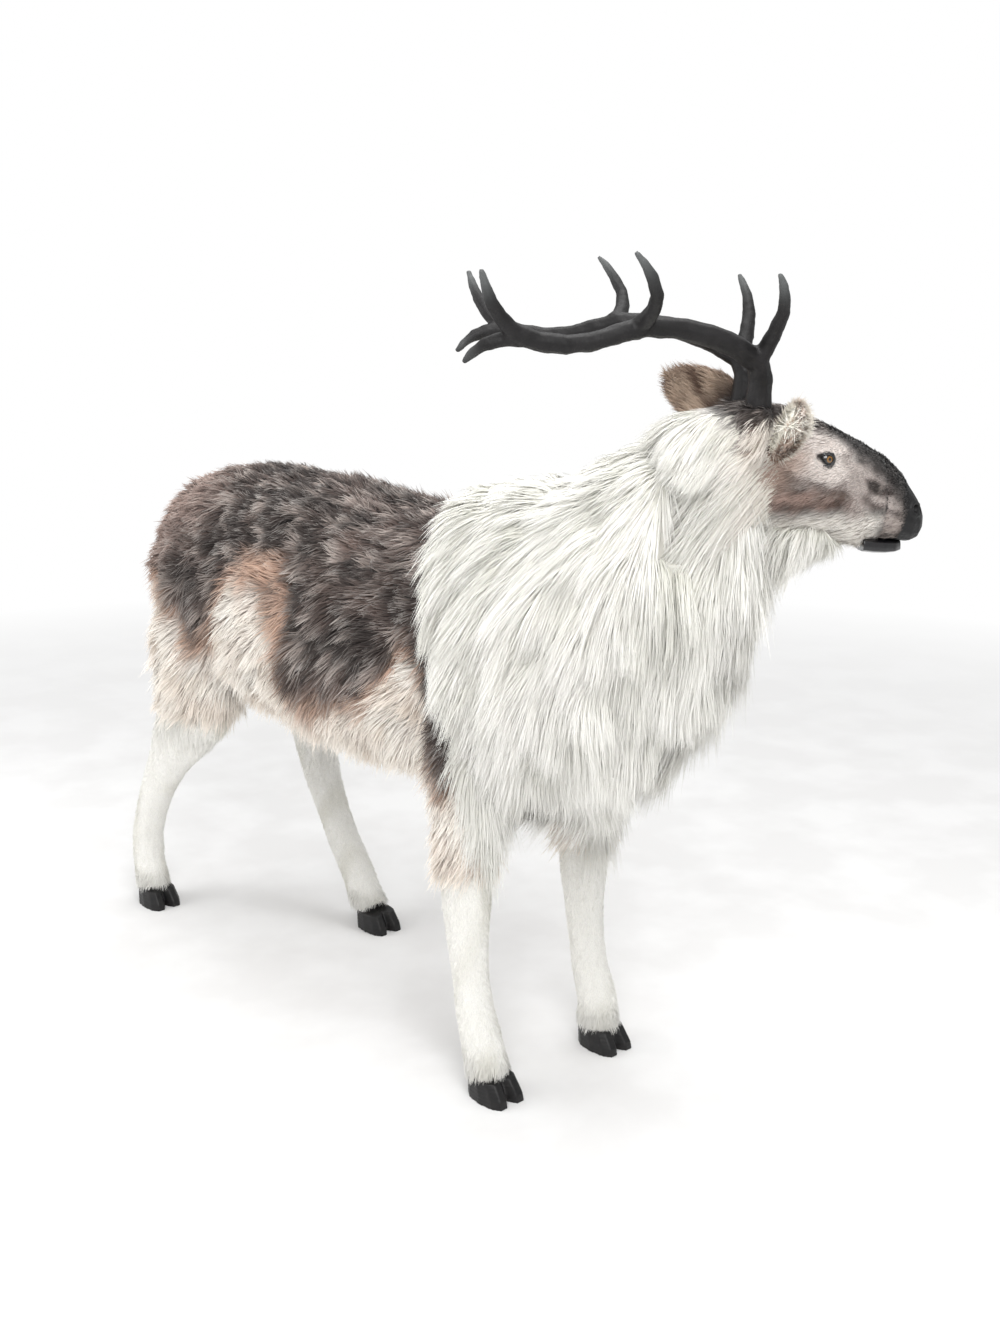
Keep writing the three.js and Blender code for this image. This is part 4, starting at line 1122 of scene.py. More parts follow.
class Leg:
    """A leg: a short-pile velvet sleeve, a fringe over the hoof, and the cast hoof."""

    def __init__(self, name: str, places: Places, sizes: LegSizes) -> None:
        """Keeps the leg's name, the reference points and sizes."""
        self.name = name
        self.places = places
        self.sizes = sizes

    def build(self) -> None:
        """Builds the sleeve, its nap and the hoof."""
        node = f"leg_sleeve_{self.name}"
        form = f"leg_form_{self.name}"
        hull = remeshed((node, form), f"leg_hull_{self.name}", self.sizes.voxel, 4)
        low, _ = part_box(node)
        centres = face_centres(hull.data)
        sleeve = part_of(hull, (nearest_of(centres, (node, form)) == 0) & (centres[:, 2] > low.z + 0.004),
                         f"velvet_skin_{self.name}")
        bpy.data.objects.remove(hull)
        self.pelt(sleeve, low.z).put_on(sleeve)
        groom = Groom(self.sizes.strands, 3, 0.0018, 0.1, 0.25, 0.007, 0.25, 0.2, 41)
        finish_piece(grow(sleeve, f"velvet_nap_{self.name}", Fur.VELVET, groom), TORSO, "velvet")
        made = thicken(sleeve, self.sizes.backing)
        dress(made, Finish.VELVET_SKIN)
        finish_piece(made, TORSO, "velvet", node)
        self.build_hoof()

    def pelt(self, skin: bpy.types.Object, floor: float) -> Pelt:
        """The sleeve's colours, combing and lengths."""
        world = vertices_of(skin.data)
        count = len(world)
        z = world[:, 2]
        stain = np.clip(wobble(world * np.array([1.0, 1.0, 0.5]), 0.05, 51) - 0.2, 0, 1)
        tint = mixed(np.tile(np.array(VELVET), (count, 1)), (0.50, 0.48, 0.38), 0.35 * stain)
        hem = 1 - smoothstep(floor + 0.02, floor + 0.06, z)
        tint = mixed(tint, (0.50, 0.49, 0.46), 0.35 * hem)
        way = np.tile(np.array([-0.1, 0.0, -1.0]), (count, 1))
        length = 0.007 + 0.011 * hem + 0.012 * smoothstep(0.42, 0.50, z)
        return Pelt(tint, way, length, np.full(count, 0.32), 1.0 + 1.5 * hem, np.zeros(count))

    def build_hoof(self) -> None:
        """Builds the hoof with faint growth rings."""
        node = f"hoof_{self.name}"
        hoof = remeshed((node,), f"cast_{node}", 0.0022, 2)
        points, normals = vertices_of(hoof.data), normals_of(hoof.data)
        upright = 1 - np.abs(normals[:, 2])
        rings = np.sin(points[:, 2] * 2 * math.pi / 0.007 + 1.3 * wobble(points, 0.05, 61))
        points += normals * (0.00025 * rings * upright)[:, None]
        hoof.data.vertices.foreach_set("co", points.ravel().astype(np.float32))
        dress(hoof, Finish.HOOF)
        finish_piece(hoof, TORSO, "hoof", node)


# ---------------------------------------------------------------- the head


@dataclass(frozen=True)
class HeadSizes:
    """Sizes of the head's skins and pile.

    Attributes:
        voxel: Size of the face skin's faces, in metres.
        backing: Thickness of the skins.
        strands: Strands on the face.
        nape: Strands of the long hair behind the head.
        ruff: Strands on the throat.
        ear: Strands on the back of an ear.
        lining: Strands inside an ear.
    """

    voxel: float = 0.0045
    backing: float = 0.002
    strands: int = 38_000
    nape: int = 11_000
    ruff: int = 10_000
    ear: int = 8_000
    lining: int = 5_000


BROW = (0.050, 0.040, 0.036)
RING = (0.85, 0.80, 0.76)
STREAK = (0.10, 0.065, 0.05)
CHEEK = (0.50, 0.32, 0.25)
MOTTLE = (0.50, 0.43, 0.40)
CHIN = (0.85, 0.83, 0.78)
BLACK = (0.012, 0.011, 0.011)


class HeadSkin:
    """The furred head: face skin, face pile, nape hair and throat ruff."""

    def __init__(self, places: Places, sizes: HeadSizes) -> None:
        """Keeps the reference points and sizes."""
        self.places = places
        self.sizes = sizes

    def build(self) -> None:
        """Builds the skins and their pile."""
        hull = remeshed(("face_cover", "skull_form"), "head_hull", self.sizes.voxel, 3)
        near = nearest_of(face_centres(hull.data), ("face_cover", "skull_form"))
        face = part_of(hull, near == 0, "face_skin")
        bpy.data.objects.remove(hull)
        self.face_pelt(face).put_on(face)
        groom = Groom(self.sizes.strands, 3, 0.0016, 0.06, 0.35, 0.007, 0.25, 0.2, 71)
        finish_piece(grow(face, "face_pile", Fur.FACE, groom), HEAD, "face")
        self.build_nape(face)
        made = thicken(face, self.sizes.backing)
        dress(made, Finish.FACE_SKIN)
        finish_piece(made, HEAD, "face", "face_cover")
        self.build_ruff()

    def face_tint(self, spot: Array) -> tuple[Array, Array]:
        """Colour and grizzle of the face, for points given from the brow."""
        drift = np.column_stack([wobble(spot, 0.03, 72), np.zeros(len(spot)), wobble(spot, 0.03, 73)]) * 0.004
        spot = spot + drift
        ahead, across, up = spot.T
        tint = np.tile(np.array(BROW), (len(spot), 1))
        side = smoothstep(0.030, 0.046, across) * (1 - smoothstep(-0.065, -0.045, up + 0.25 * np.abs(ahead - 0.06)))
        mottled = np.clip(0.5 + 0.8 * wobble(spot, 0.018, 74), 0, 1)
        tint = mixed(tint, MOTTLE, 0.75 * mottled * side)
        ring = blob(spot, (0.092, 0.060, -0.088), (0.062, 0.05, 0.046), 0.3)
        tint = mixed(tint, RING, 0.95 * ring)
        behind = blob(spot, (0.020, 0.075, -0.085), (0.045, 0.05, 0.05), 0.5)
        tint = mixed(tint, (0.62, 0.47, 0.39), 0.8 * behind)
        cheek = blob(spot, (0.075, 0.070, -0.150), (0.070, 0.05, 0.018), 0.5)
        tint = mixed(tint, CHEEK, 0.55 * cheek * (0.45 + 0.55 * mottled))
        slant = -0.120 - 0.28 * (ahead - 0.06)
        streak = np.exp(-(((up - slant) / 0.011) ** 2)) * smoothstep(0.025, 0.045, ahead)
        streak = streak * (1 - smoothstep(0.135, 0.165, ahead)) * smoothstep(0.03, 0.045, across)
        tint = mixed(tint, STREAK, 0.8 * streak * (0.55 + 0.45 * mottled))
        patches = smoothstep(0.05, 0.75, wobble(spot, 0.022, 75))
        flank = blob(spot, (0.165, 0.05, -0.125), (0.055, 0.05, 0.050), 0.5)
        tint = mixed(tint, (0.13, 0.09, 0.08), 0.7 * flank * patches)
        snout = smoothstep(0.120, 0.150, ahead) * smoothstep(-0.200, -0.185, up)
        tint = mixed(tint, (0.55, 0.50, 0.47), 0.75 * snout * mottled * smoothstep(0.2, 0.9, mottled))
        ridge = (1 - smoothstep(0.020, 0.036, across)) * smoothstep(-0.19, -0.16, up) * smoothstep(0.02, 0.06, ahead)
        tint = mixed(tint, BROW, 0.9 * ridge)
        tufts = smoothstep(0.2, 0.9, wobble(spot, 0.012, 76)) * (1 - smoothstep(0.10, 0.30, tint[:, 1]))
        tint = mixed(tint, FROST, 0.6 * tufts)
        nose = smoothstep(0.185, 0.235, ahead + 0.9 * (up + 0.15) - 0.5 * np.maximum(across - 0.03, 0))
        tint = mixed(tint, BLACK, 0.9 * nose)
        chin = (1 - smoothstep(-0.186, -0.160, up)) * (1 - smoothstep(0.185, 0.21, ahead))
        tint = mixed(tint, CHIN, chin)
        rear = 1 - smoothstep(-0.055, -0.015, ahead + 0.35 * (up + 0.06))
        tint = mixed(tint, MANE, 0.8 * rear)
        dark = 1 - smoothstep(0.10, 0.40, tint[:, 1])
        return tint, np.clip(dark, 0.1, 0.7)

    def face_pelt(self, skin: bpy.types.Object) -> Pelt:
        """The face's colours, combing and lengths."""
        world = vertices_of(skin.data)
        spot = self.places.in_head(world)
        ahead, _, up = spot.T
        tint, grizzle = self.face_tint(spot)
        way = np.tile(np.array(self.places.turned(-1.0, 0.0, -0.25)), (len(world), 1))
        outward = np.array(self.places.turned(0.0, 1.0, 0.0))
        side = np.sign((world - self.places.pivot) @ outward)
        way = way + 0.35 * side[:, None] * outward
        length = 0.015 - 0.010 * smoothstep(0.08, 0.17, ahead) + 0.012 * (1 - smoothstep(-0.06, 0.02, ahead))
        eye = blob(spot, (0.097, 0.060, -0.087), (0.030, 0.05, 0.024), 0.4)
        length = length * (1 - 0.55 * eye)
        chin = (1 - smoothstep(-0.190, -0.165, up)) * (1 - smoothstep(0.165, 0.20, ahead))
        length = length + 0.012 * chin
        cover = 1 - blob(spot, (0.097, 0.066, -0.087), (0.019, 0.03, 0.011), 0.25)
        around = np.linalg.norm((world - self.places.pivot)[:, :2], axis=1)
        cover = cover * np.where((around < 0.066) & (up < -0.12), 0.0, 1.0)
        return Pelt(tint, way, length, np.full(len(world), 0.30), cover, grizzle)

    def build_nape(self, face: bpy.types.Object) -> None:
        """Grows long hair behind the head, over the neck."""
        centres = self.places.in_head(face_centres(face.data))
        keep = (centres[:, 0] < 0.022) & (centres[:, 2] < -0.02)
        nape = part_of(face, keep, "nape_ground")
        for name in ("tint", "way", "reach", "lift", "cover", "grizzle"):
            nape.data.attributes.remove(nape.data.attributes[name])
        world = vertices_of(nape.data)
        count = len(world)
        spot = self.places.in_head(world)
        # Painted shade: the streaks darken the nape hair towards grey-olive where shadow falls between the locks.
        streaks = np.clip(0.5 + 0.6 * wobble(world, 0.02, 81), 0, 1)
        tint = mixed(np.tile(np.array(MANE), (count, 1)), MANE_PAINTED_SHADE, 0.5 * streaks)
        front = smoothstep(-0.045, 0.015, spot[:, 0] + 0.35 * (spot[:, 2] + 0.10))
        tint = mixed(tint, (0.68, 0.58, 0.50), 0.4 * front)
        away = np.tile(np.array(self.places.turned(-0.85, 0.0, -0.62)), (count, 1))
        sway = np.column_stack([wobble(world, 0.05, seed) for seed in (86, 87, 88)])
        away = away + 0.25 * sway
        low = 1 - smoothstep(-0.12, -0.05, spot[:, 2])
        length = 0.060 - 0.030 * front + 0.030 * low + 0.01 * wobble(world, 0.03, 89)
        Pelt(tint, away, length, 0.34 - 0.1 * front, 1 - 0.75 * front, np.zeros(count)).put_on(nape)
        groom = Groom(self.sizes.nape, 4, 0.0019, 0.35, 0.5, 0.022, 0.3, 0.16, 82)
        finish_piece(grow(nape, "nape_pile", Fur.MANE, groom), HEAD, "mane")
        bpy.data.objects.remove(nape)

    def build_ruff(self) -> None:
        """Builds the throat's long tuft."""
        ruff = remeshed(("throat_ruff",), "ruff_skin", 0.005, 4)
        world = vertices_of(ruff.data)
        spot = self.places.in_head(world)
        count = len(world)
        # Painted shade: the streaks darken the ruff towards grey-olive where shadow falls between the locks.
        streaks = np.clip(0.5 + 0.6 * wobble(world, 0.02, 83), 0, 1)
        tint = mixed(np.tile(np.array(MANE), (count, 1)), MANE_PAINTED_SHADE, 0.45 * streaks)
        away = np.array(self.places.turned(-0.30, 0.0, -1.0))
        length = 0.052 + 0.012 * wobble(world, 0.03, 84) - 0.02 * smoothstep(0.06, 0.12, spot[:, 0])
        Pelt(tint, np.tile(away, (count, 1)), np.maximum(length, 0.02), np.full(count, 0.32), np.ones(count),
             np.zeros(count)).put_on(ruff)
        groom = Groom(self.sizes.ruff, 4, 0.0019, 0.3, 0.5, 0.02, 0.3, 0.16, 85)
        finish_piece(grow(ruff, "ruff_pile", Fur.MANE, groom), HEAD, "mane")
        dress(ruff, Finish.MANE_SKIN)
        finish_piece(ruff, HEAD, "mane", "throat_ruff")


class Ear:
    """An ear: a felted shell with short pile and a fluffy lining, on its wire."""

    def __init__(self, side: str, places: Places, sizes: HeadSizes) -> None:
        """Keeps the side, the head's forward direction and sizes."""
        self.side = side
        self.ahead = places.turned(1.0, 0.0, 0.0)
        self.body = f"ear_{side}"
        self.sizes = sizes
        joint = next(j for j in frame["joints"] if j["name"] == f"ear_{side}_swing")
        self.root = np.array(joint["pos_m"], float)

    def build(self) -> None:
        """Builds the shell, the lining and their pile."""
        shell_node, lining_node = self.body, f"ear_lining_{self.side}"
        shell = remeshed((shell_node,), f"ear_shell_{self.side}", 0.0028, 3)
        lining = remeshed((lining_node,), f"ear_fluff_{self.side}", 0.0028, 2)
        tip = self.tip_of(vertices_of(shell.data))
        points = vertices_of(shell.data) - 0.0010 * normals_of(shell.data)
        shell.data.vertices.foreach_set("co", points.ravel().astype(np.float32))
        self.shell_pelt(shell, tip, lining_node).put_on(shell)
        self.lining_pelt(lining, tip).put_on(lining)
        groom = Groom(self.sizes.ear, 3, 0.0016, 0.05, 0.4, 0.007, 0.2, 0.2, 91)
        finish_piece(grow(shell, f"ear_pile_{self.side}", Fur.FACE, groom), self.body, "ear")
        groom = Groom(self.sizes.lining, 3, 0.0015, 0.05, 0.3, 0.009, 0.3, 0.25, 92)
        finish_piece(grow(lining, f"ear_tuft_{self.side}", Fur.MANE, groom), self.body, "lining")
        dress(shell, Finish.FACE_SKIN)
        dress(lining, Finish.MANE_SKIN)
        finish_piece(shell, self.body, "ear", shell_node)
        finish_piece(lining, self.body, "lining", lining_node)

    def tip_of(self, points: Array) -> Array:
        """The point of the ear farthest from its root."""
        return points[np.argmax(np.linalg.norm(points - self.root, axis=1))]

    def shell_pelt(self, skin: bpy.types.Object, tip: Array, lining: str) -> Pelt:
        """The shell's colours, combing and lengths."""
        points = vertices_of(skin.data)
        count = len(points)
        mesh = frame["nodes"][lining].data
        tree = BVHTree.FromPolygons([v.co for v in mesh.vertices], [tuple(p.vertices) for p in mesh.polygons])
        gap = np.array([tree.find_nearest(p)[3] for p in points])
        out = (points - self.root) @ unit((tip - self.root)[None])[0] / np.linalg.norm(tip - self.root)
        tint = np.tile(np.array((0.20, 0.125, 0.085)), (count, 1))
        tint = mixed(tint, (0.42, 0.30, 0.20), np.clip(0.5 + 0.6 * wobble(points, 0.02, 93), 0, 1) * 0.6)
        tint = mixed(tint, (0.03, 0.025, 0.022), 0.7 * (1 - smoothstep(0.15, 0.4, out)))
        edge = 1 - smoothstep(0.002, 0.010, gap)
        tint = mixed(tint, (0.66, 0.53, 0.45), 0.75 * edge * smoothstep(0.1, 0.5, out))
        facing = (points - points.mean(axis=0)) @ np.array(self.ahead)
        tint = mixed(tint, (0.84, 0.79, 0.73), 0.9 * smoothstep(-0.012, 0.012, facing) * (self.side == "right"))
        tint = mixed(tint, (0.60, 0.46, 0.36), 0.6 * edge * (self.side == "left"))
        way = np.tile(tip - self.root, (count, 1))
        length = 0.011 + 0.007 * edge
        return Pelt(tint, way, length, np.full(count, 0.35), np.ones(count), np.full(count, 0.25))

    def lining_pelt(self, skin: bpy.types.Object, tip: Array) -> Pelt:
        """The lining's colours, combing and lengths."""
        points = vertices_of(skin.data)
        count = len(points)
        mottle = np.clip(0.5 + 0.7 * wobble(points, 0.016, 94), 0, 1)
        if self.side == "right":
            tint = mixed(np.tile(np.array((0.88, 0.86, 0.80)), (count, 1)), (0.66, 0.60, 0.53), 0.35 * mottle)
        else:
            out = (points - self.root) @ unit((tip - self.root)[None])[0] / np.linalg.norm(tip - self.root)
            tint = mixed(np.tile(np.array((0.58, 0.45, 0.35)), (count, 1)), (0.15, 0.095, 0.07), mottle)
            tint = mixed(tint, (0.05, 0.035, 0.03), 0.75 * (1 - smoothstep(0.30, 0.50, out)))
        way = np.tile(tip - self.root, (count, 1))
        return Pelt(tint, way, np.full(count, 0.024), np.full(count, 0.5), np.ones(count), np.zeros(count))


# ---------------------------------------------------------------- cast and moulded pieces


class Castings:
    """Antlers, muzzle, lip, eyes and eyelids."""

    def __init__(self, places: Places) -> None:
        """Keeps the reference points."""
        self.places = places

    def build(self) -> None:
        """Builds every casting."""
        for side in SIDES:
            self.build_antler(side)
            self.build_eye(side)
        self.build_muzzle()
        lip = remeshed(("lower_lip",), "moulded_lip", 0.0015, 2)
        points, normals = vertices_of(lip.data), normals_of(lip.data)
        points[:, 2] += 0.0090 * smoothstep(0.1, 0.7, normals[:, 2])
        lip.data.vertices.foreach_set("co", points.ravel().astype(np.float32))
        dress(lip, Finish.LIP)
        finish_piece(lip, HEAD, "muzzle", "lower_lip")

    def build_antler(self, side: str) -> None:
        """Builds an antler with a grainy skin and paler slender ends."""
        node = f"antler_{side}"
        antler = remeshed((node,), f"cast_{node}", 0.0028, 3)
        points, normals = vertices_of(antler.data), normals_of(antler.data)
        triangles = [tuple(p.vertices) for p in antler.data.polygons]
        tree = BVHTree.FromPolygons([Vector(p) for p in points], triangles)
        depth = []
        for point, normal in zip(points, normals):
            hit = tree.ray_cast(Vector(point - normal * 0.0005), Vector(-normal), 0.06)
            depth.append(hit[3] if hit[0] is not None else 0.06)
        slender = 1 - smoothstep(0.009, 0.019, np.array(depth))
        slender = slender * smoothstep(0.06, 0.11, points[:, 2] - points[:, 2].min())
        mesh = antler.data
        edges = np.empty(len(mesh.edges) * 2, int)
        mesh.edges.foreach_get("vertices", edges)
        first, second = edges.reshape(-1, 2).T
        for _ in range(12):
            total, count = slender.copy(), np.ones(len(slender))
            np.add.at(total, first, slender[second])
            np.add.at(total, second, slender[first])
            np.add.at(count, first, 1)
            np.add.at(count, second, 1)
            slender = total / count
        ridges = 0.0006 * wobble(points, 0.02, 101) + 0.0003 * wobble(points, 0.007, 102)
        points += normals * ridges[:, None]
        mesh.vertices.foreach_set("co", points.ravel().astype(np.float32))
        store(mesh, "slender", slender)
        dress(antler, Finish.ANTLER)
        finish_piece(antler, node, "antler", node)

    def build_eye(self, side: str) -> None:
        """Builds an eye that looks out and slightly ahead, and its lid."""
        node = f"eye_{side}"
        low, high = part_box(node)
        radius = max(high - low) / 2
        centre = (low + high) / 2
        work = bmesh.new()
        bmesh.ops.create_uvsphere(work, u_segments=48, v_segments=32, radius=radius)
        mesh = bpy.data.meshes.new(f"glass_{node}")
        work.to_mesh(mesh)
        work.free()
        sign = 1.0 if side == "left" else -1.0
        gaze = np.array(self.places.turned(0.32, sign * 0.94, 0.05).normalized())
        points = vertices_of(mesh)
        angle = np.arccos(np.clip(unit(points) @ gaze, -1, 1))
        mesh.vertices.foreach_set("co", (points + np.array(centre)).ravel().astype(np.float32))
        store(mesh, "gaze", angle)
        mesh.shade_smooth()
        eye = new_object(mesh.name, mesh)
        dress(eye, Finish.EYE)
        finish_piece(eye, HEAD, "eye", node)
        self.build_lids(side, np.array(centre), radius, gaze)
        lid = remeshed((f"eyelid_{side}",), f"moulded_eyelid_{side}", 0.0011, 2)
        dress(lid, Finish.LIP)
        finish_piece(lid, HEAD, "muzzle", f"eyelid_{side}")

    def build_lids(self, side: str, centre: Array, radius: float, gaze: Array) -> None:
        """Builds the furred lids that leave a narrow opening over the eye.

        Args:
            side: The eye's side.
            centre: Middle of the eye.
            radius: Its radius.
            gaze: Direction in which it looks.
        """
        work = bmesh.new()
        bmesh.ops.create_icosphere(work, subdivisions=5, radius=radius + 0.0016)
        mesh = bpy.data.meshes.new(f"lids_{side}")
        work.to_mesh(mesh)
        work.free()
        ahead = np.array(self.places.turned(0.93, 0.0, -0.36))
        ahead = unit((ahead - gaze * (ahead @ gaze))[None])[0]
        above = np.cross(gaze, ahead) * (1.0 if side == "right" else -1.0)
        above = above if above[2] > 0 else -above
        ball = new_object(mesh.name, mesh)
        local = face_centres(mesh)
        along, up, out = local @ ahead, local @ above, local @ gaze
        slit = (np.abs(along) / 0.0118) ** 1.5 + (np.abs(up + 0.0005) / 0.0074) ** 1.7
        lids = part_of(ball, (slit > 1.0) & (out > 0.25 * radius), f"lid_skin_{side}")
        bpy.data.objects.remove(ball)
        points = vertices_of(lids.data)
        slit = (np.abs(points @ ahead) / 0.0118) ** 1.5 + (np.abs(points @ above + 0.0005) / 0.0074) ** 1.7
        rim = 1 - smoothstep(1.3, 2.0, slit)
        world = points + centre
        lids.data.vertices.foreach_set("co", world.ravel().astype(np.float32))
        lids.data.update()
        tint, grizzle = HeadSkin(self.places, HeadSizes()).face_tint(self.places.in_head(world))
        tint = mixed(tint, (0.008, 0.007, 0.007), rim)
        away = unit(points - gaze * (points @ gaze)[:, None])
        away = away + 0.9 * np.array(self.places.turned(-1.0, 0.0, -0.2))
        count = len(points)
        Pelt(tint, away, 0.0055 - 0.003 * rim, np.full(count, 0.35), 1 - 0.8 * rim, grizzle).put_on(lids)
        groom = Groom(1_500, 3, 0.0011, 0.0, 0.2, 0.005, 0.2, 0.2, 114)
        finish_piece(grow(lids, f"lid_pile_{side}", Fur.FACE, groom), HEAD, "face")
        made = thicken(lids, 0.0010)
        dress(made, Finish.FACE_SKIN)
        finish_piece(made, HEAD, "face")

    def build_muzzle(self) -> None:
        """Builds the muzzle with rimmed nostrils and a pebbled skin."""
        muzzle = remeshed(("muzzle",), "moulded_muzzle", 0.0018, 2)
        points, normals = vertices_of(muzzle.data), normals_of(muzzle.data)
        spot = self.places.in_head(points)
        away = np.linalg.norm((spot - np.array((0.254, 0.031, -0.170))) / np.array((1.0, 1.0, 0.85)), axis=1)
        dent = -0.009 * (1 - smoothstep(0.003, 0.010, away)) + 0.0024 * np.exp(-(((away - 0.0125) / 0.003) ** 2))
        pebbles = 0.00025 * wobble(points, 0.004, 111)
        points += normals * (dent + pebbles)[:, None]
        muzzle.data.vertices.foreach_set("co", points.ravel().astype(np.float32))
        self.grow_snout(muzzle)
        dress(muzzle, Finish.MUZZLE)
        finish_piece(muzzle, HEAD, "muzzle", "muzzle")

    def grow_snout(self, muzzle: bpy.types.Object) -> None:
        """Grows the face's short pile over the rear of the muzzle."""
        centres = self.places.in_head(face_centres(muzzle.data))
        reach = centres[:, 0] + 0.25 * np.maximum(-0.165 - centres[:, 2], 0)
        keep = (reach < 0.243) & (centres[:, 2] > -0.216) & (centres[:, 0] > 0.206)
        ground = part_of(muzzle, keep, "snout_ground")
        world = vertices_of(ground.data)
        spot = self.places.in_head(world)
        tint, grizzle = HeadSkin(self.places, HeadSizes()).face_tint(spot)
        low = 1 - smoothstep(-0.185, -0.160, spot[:, 2] - 0.3 * (spot[:, 1] - 0.03))
        mottled = np.clip(0.5 + 0.8 * wobble(spot, 0.012, 112), 0, 1)
        tint = mixed(tint, (0.52, 0.46, 0.42), 0.65 * mottled * low * (1 - smoothstep(0.225, 0.242, spot[:, 0])))
        tint = mixed(tint, BLACK, 0.9 * smoothstep(0.226, 0.242, spot[:, 0]))
        count = len(world)
        way = np.tile(np.array(self.places.turned(-1.0, 0.0, -0.15)), (count, 1))
        fade = 1 - 0.5 * smoothstep(0.22, 0.245, spot[:, 0])
        Pelt(tint, way, 0.006 * fade, np.full(count, 0.35), fade, grizzle).put_on(ground)
        groom = Groom(7_000, 3, 0.0014, 0.05, 0.3, 0.006, 0.25, 0.2, 113)
        finish_piece(grow(ground, "snout_pile", Fur.FACE, groom), HEAD, "face")
        bpy.data.objects.remove(ground)


class Soft:
    """The tail and the pouch."""

    def __init__(self, places: Places) -> None:
        """Keeps the reference points."""
        self.places = places

    def build(self) -> None:
        """Builds both."""
        tail = remeshed(("tail",), "tail_skin", 0.005, 3)
        world = vertices_of(tail.data)
        count = len(world)
        tint = mixed(np.tile(np.array(RUMP), (count, 1)), DARK, np.clip(0.5 + 0.6 * wobble(world, 0.03, 121), 0, 1))
        under = 1 - smoothstep(-0.3, 0.3, normals_of(tail.data)[:, 0] * -1)
        tint = mixed(tint, BELLY, 0.8 * under)
        Pelt(tint, np.tile(np.array([-0.25, 0.0, -1.0]), (count, 1)), np.full(count, 0.03), np.full(count, 0.3),
             np.ones(count), np.full(count, 0.6)).put_on(tail)
        finish_piece(grow(tail, "tail_pile", Fur.COAT, Groom(5_000, 3, 0.0028, 0.2, 0.5, 0.014, 0.2, 0.15, 122)), TORSO,
                     "coat")
        dress(tail, Finish.COAT_SKIN)
        finish_piece(tail, TORSO, "coat", "tail")
        # The pouch's grey is partly its own short grey pile and partly painted shade of the pale fur in the fold
        # between the thighs.
        pouch = remeshed(("groin_pouch",), "suede_pouch_painted_shade", 0.003, 3)
        points, normals = vertices_of(pouch.data), normals_of(pouch.data)
        folds = 0.0012 * wobble(points * np.array([1.0, 1.0, 0.4]), 0.012, 123)
        points += normals * folds[:, None]
        pouch.data.vertices.foreach_set("co", points.ravel().astype(np.float32))
        dress(pouch, Finish.SUEDE_AND_SHADE)
        finish_piece(pouch, TORSO, "velvet", "groin_pouch")


class Core:
    """The nodes shown as they were imported: steel, foam, nylon and fastenings."""

    FINISHES = {"steel": Finish.STEEL, "zinc": Finish.ZINC, "foam": Finish.FOAM, "nylon": Finish.NYLON}

    def build(self) -> None:
        """Gives each its finish, by its slot."""
        for part in frame["record"]["subparts"]:
            finish = self.FINISHES.get(part["material_slot"])
            if finish is not None:
                dress(frame["nodes"][part["node"]], finish)


# ---------------------------------------------------------------- the studio


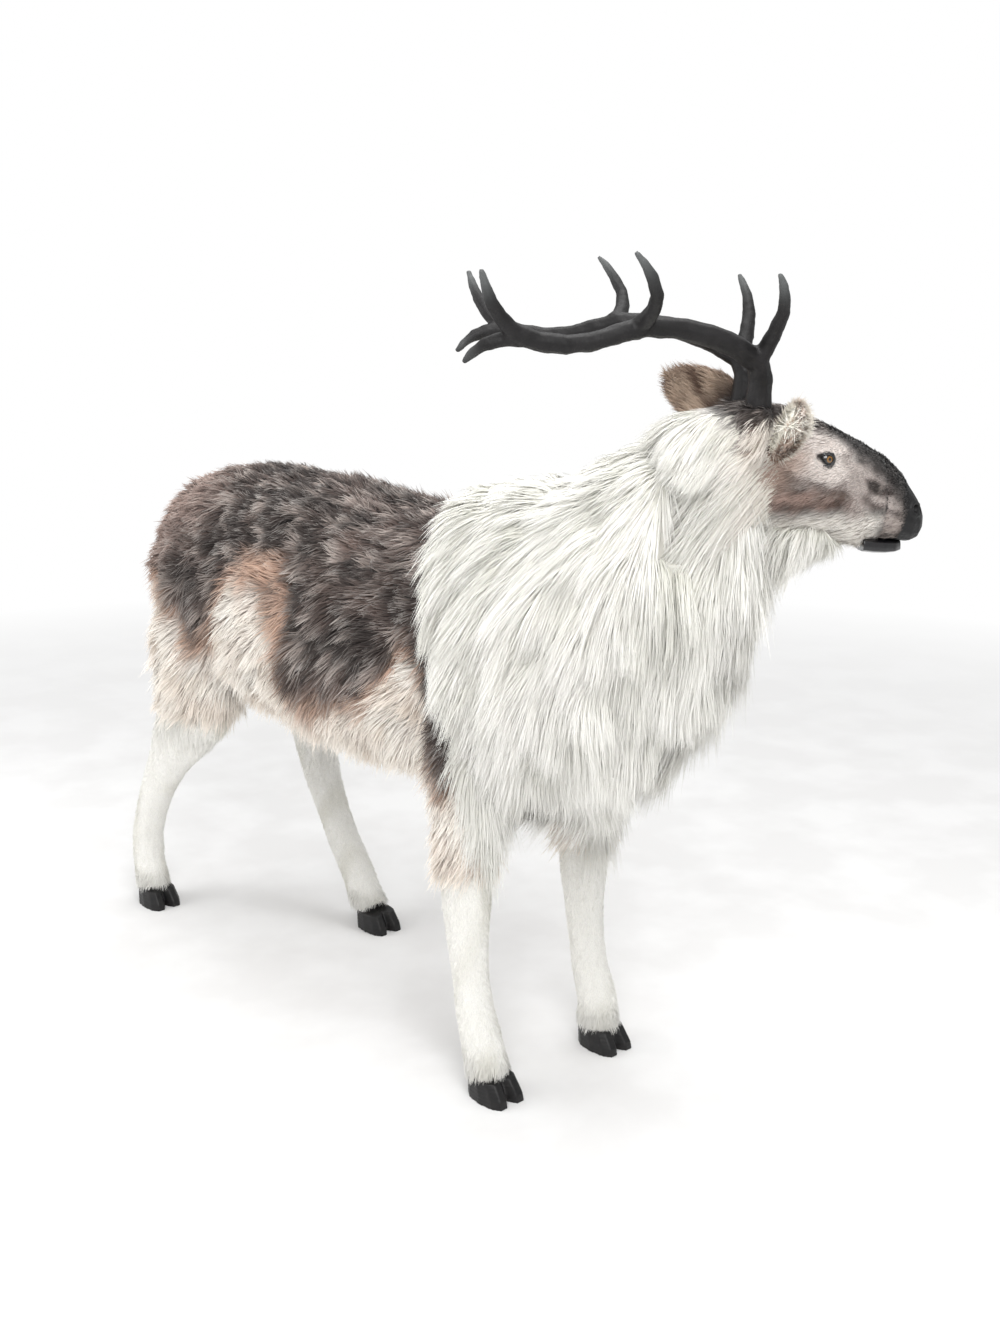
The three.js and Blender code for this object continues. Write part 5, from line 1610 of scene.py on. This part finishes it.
@dataclass(frozen=True)
class Studio:
    """Camera, lights, floor and white surroundings.

    Attributes:
        eye: The camera's place from the chest point, in metres.
        azimuth: Its heading, in radians.
        pitch: How far it looks down, in radians.
        lens: Its focal length, in millimetres, for a 36 mm sensor.
    """

    eye: tuple[float, float, float] = (1.90952, -1.85563, 1.50239)
    azimuth: float = 0.835132
    pitch: float = 0.252970
    lens: float = 40.51

    def place_camera(self, places: Places) -> None:
        """Creates the camera."""
        camera = bpy.data.objects.new("camera", bpy.data.cameras.new("camera"))
        bpy.context.scene.collection.objects.link(camera)
        camera.data.lens = self.lens
        camera.data.sensor_width = 36.0
        camera.data.clip_end = 60.0
        cos = math.cos(self.pitch)
        ahead = Vector((-math.sin(self.azimuth) * cos, math.cos(self.azimuth) * cos, -math.sin(self.pitch)))
        camera.rotation_mode = "QUATERNION"
        camera.rotation_quaternion = ahead.to_track_quat("-Z", "Y")
        camera.location = Vector(places.chest) + Vector(self.eye)
        bpy.context.scene.camera = camera

    def light(self, name: str, place: Colour, target: Colour, size: float, power: float) -> None:
        """Adds a square area light that faces a target."""
        lamp = bpy.data.lights.new(name, "AREA")
        lamp.size = size
        lamp.energy = power
        made = bpy.data.objects.new(name, lamp)
        bpy.context.scene.collection.objects.link(made)
        made.location = place
        made.rotation_mode = "QUATERNION"
        made.rotation_quaternion = (Vector(target) - Vector(place)).to_track_quat("-Z", "Y")

    def build(self) -> None:
        """Builds the lights, the floor and the surroundings."""
        self.light("key", (2.4, -1.6, 3.0), (0.0, 0.1, 0.8), 2.2, 95.0)
        self.light("fill", (-2.2, -2.6, 2.0), (-0.1, 0.1, 0.7), 2.6, 50.0)
        self.light("top", (0.0, 0.4, 3.6), (0.0, 0.1, 0.5), 3.0, 78.0)
        self.build_floor()
        self.build_world()

    def build_floor(self) -> None:
        """Builds a pale floor that fades into white."""
        work = bmesh.new()
        bmesh.ops.create_circle(work, cap_ends=True, segments=64, radius=14.0)
        mesh = bpy.data.meshes.new("floor")
        work.to_mesh(mesh)
        work.free()
        floor = new_object("floor", mesh)
        pale, graph, shader = new_material("studio_floor")
        place = graph.node("ShaderNodeTexCoord").outputs["Object"]
        scuffs = graph.ramp(graph.noise(place, 0.25, 8.0), 0.42, 0.62)
        graph.feed(shader.inputs["Base Color"], graph.mix(scuffs, (0.84, 0.835, 0.83), (0.90, 0.898, 0.895)))
        shader.inputs["Roughness"].default_value = 0.7
        white = graph.node("ShaderNodeEmission")
        white.inputs["Color"].default_value = (1.0, 1.0, 1.0, 1.0)
        far = graph.ramp(graph.vector("LENGTH", place), 1.6, 4.5)
        both = graph.node("ShaderNodeMixShader")
        graph.feed(both.inputs[0], far)
        graph.feed(both.inputs[1], shader.outputs[0])
        graph.feed(both.inputs[2], white.outputs[0])
        output = next(n for n in pale.node_tree.nodes if n.type == "OUTPUT_MATERIAL")
        graph.feed(output.inputs["Surface"], both.outputs[0])
        floor.data.materials.append(pale)

    def build_world(self) -> None:
        """Makes the surroundings white to the camera and softer as light."""
        world = bpy.data.worlds.new("studio")
        world.use_nodes = True
        bpy.context.scene.world = world
        graph = Graph(world.node_tree)
        background = next(n for n in world.node_tree.nodes if n.type == "BACKGROUND")
        seen = graph.node("ShaderNodeLightPath").outputs["Is Camera Ray"]
        background.inputs["Color"].default_value = (1.0, 1.0, 1.0, 1.0)
        graph.feed(background.inputs["Strength"], graph.ramp(seen, 0.0, 1.0, (0.50, 1.0)))


def main() -> None:
    """Builds the whole scene."""
    logging.basicConfig(level=logging.INFO, format="%(message)s")
    places = find_places()
    studio = Studio()
    studio.place_camera(places)
    bpy.context.scene.view_settings.view_transform = "Standard"
    Core().build()
    Trunk(places, TrunkSizes()).build()
    for leg in LEG_NAMES:
        Leg(leg, places, LegSizes()).build()
    HeadSkin(places, HeadSizes()).build()
    for side in SIDES:
        Ear(side, places, HeadSizes()).build()
    Castings(places).build()
    Soft(places).build()
    studio.build()


if __name__ == "__main__":
    main()
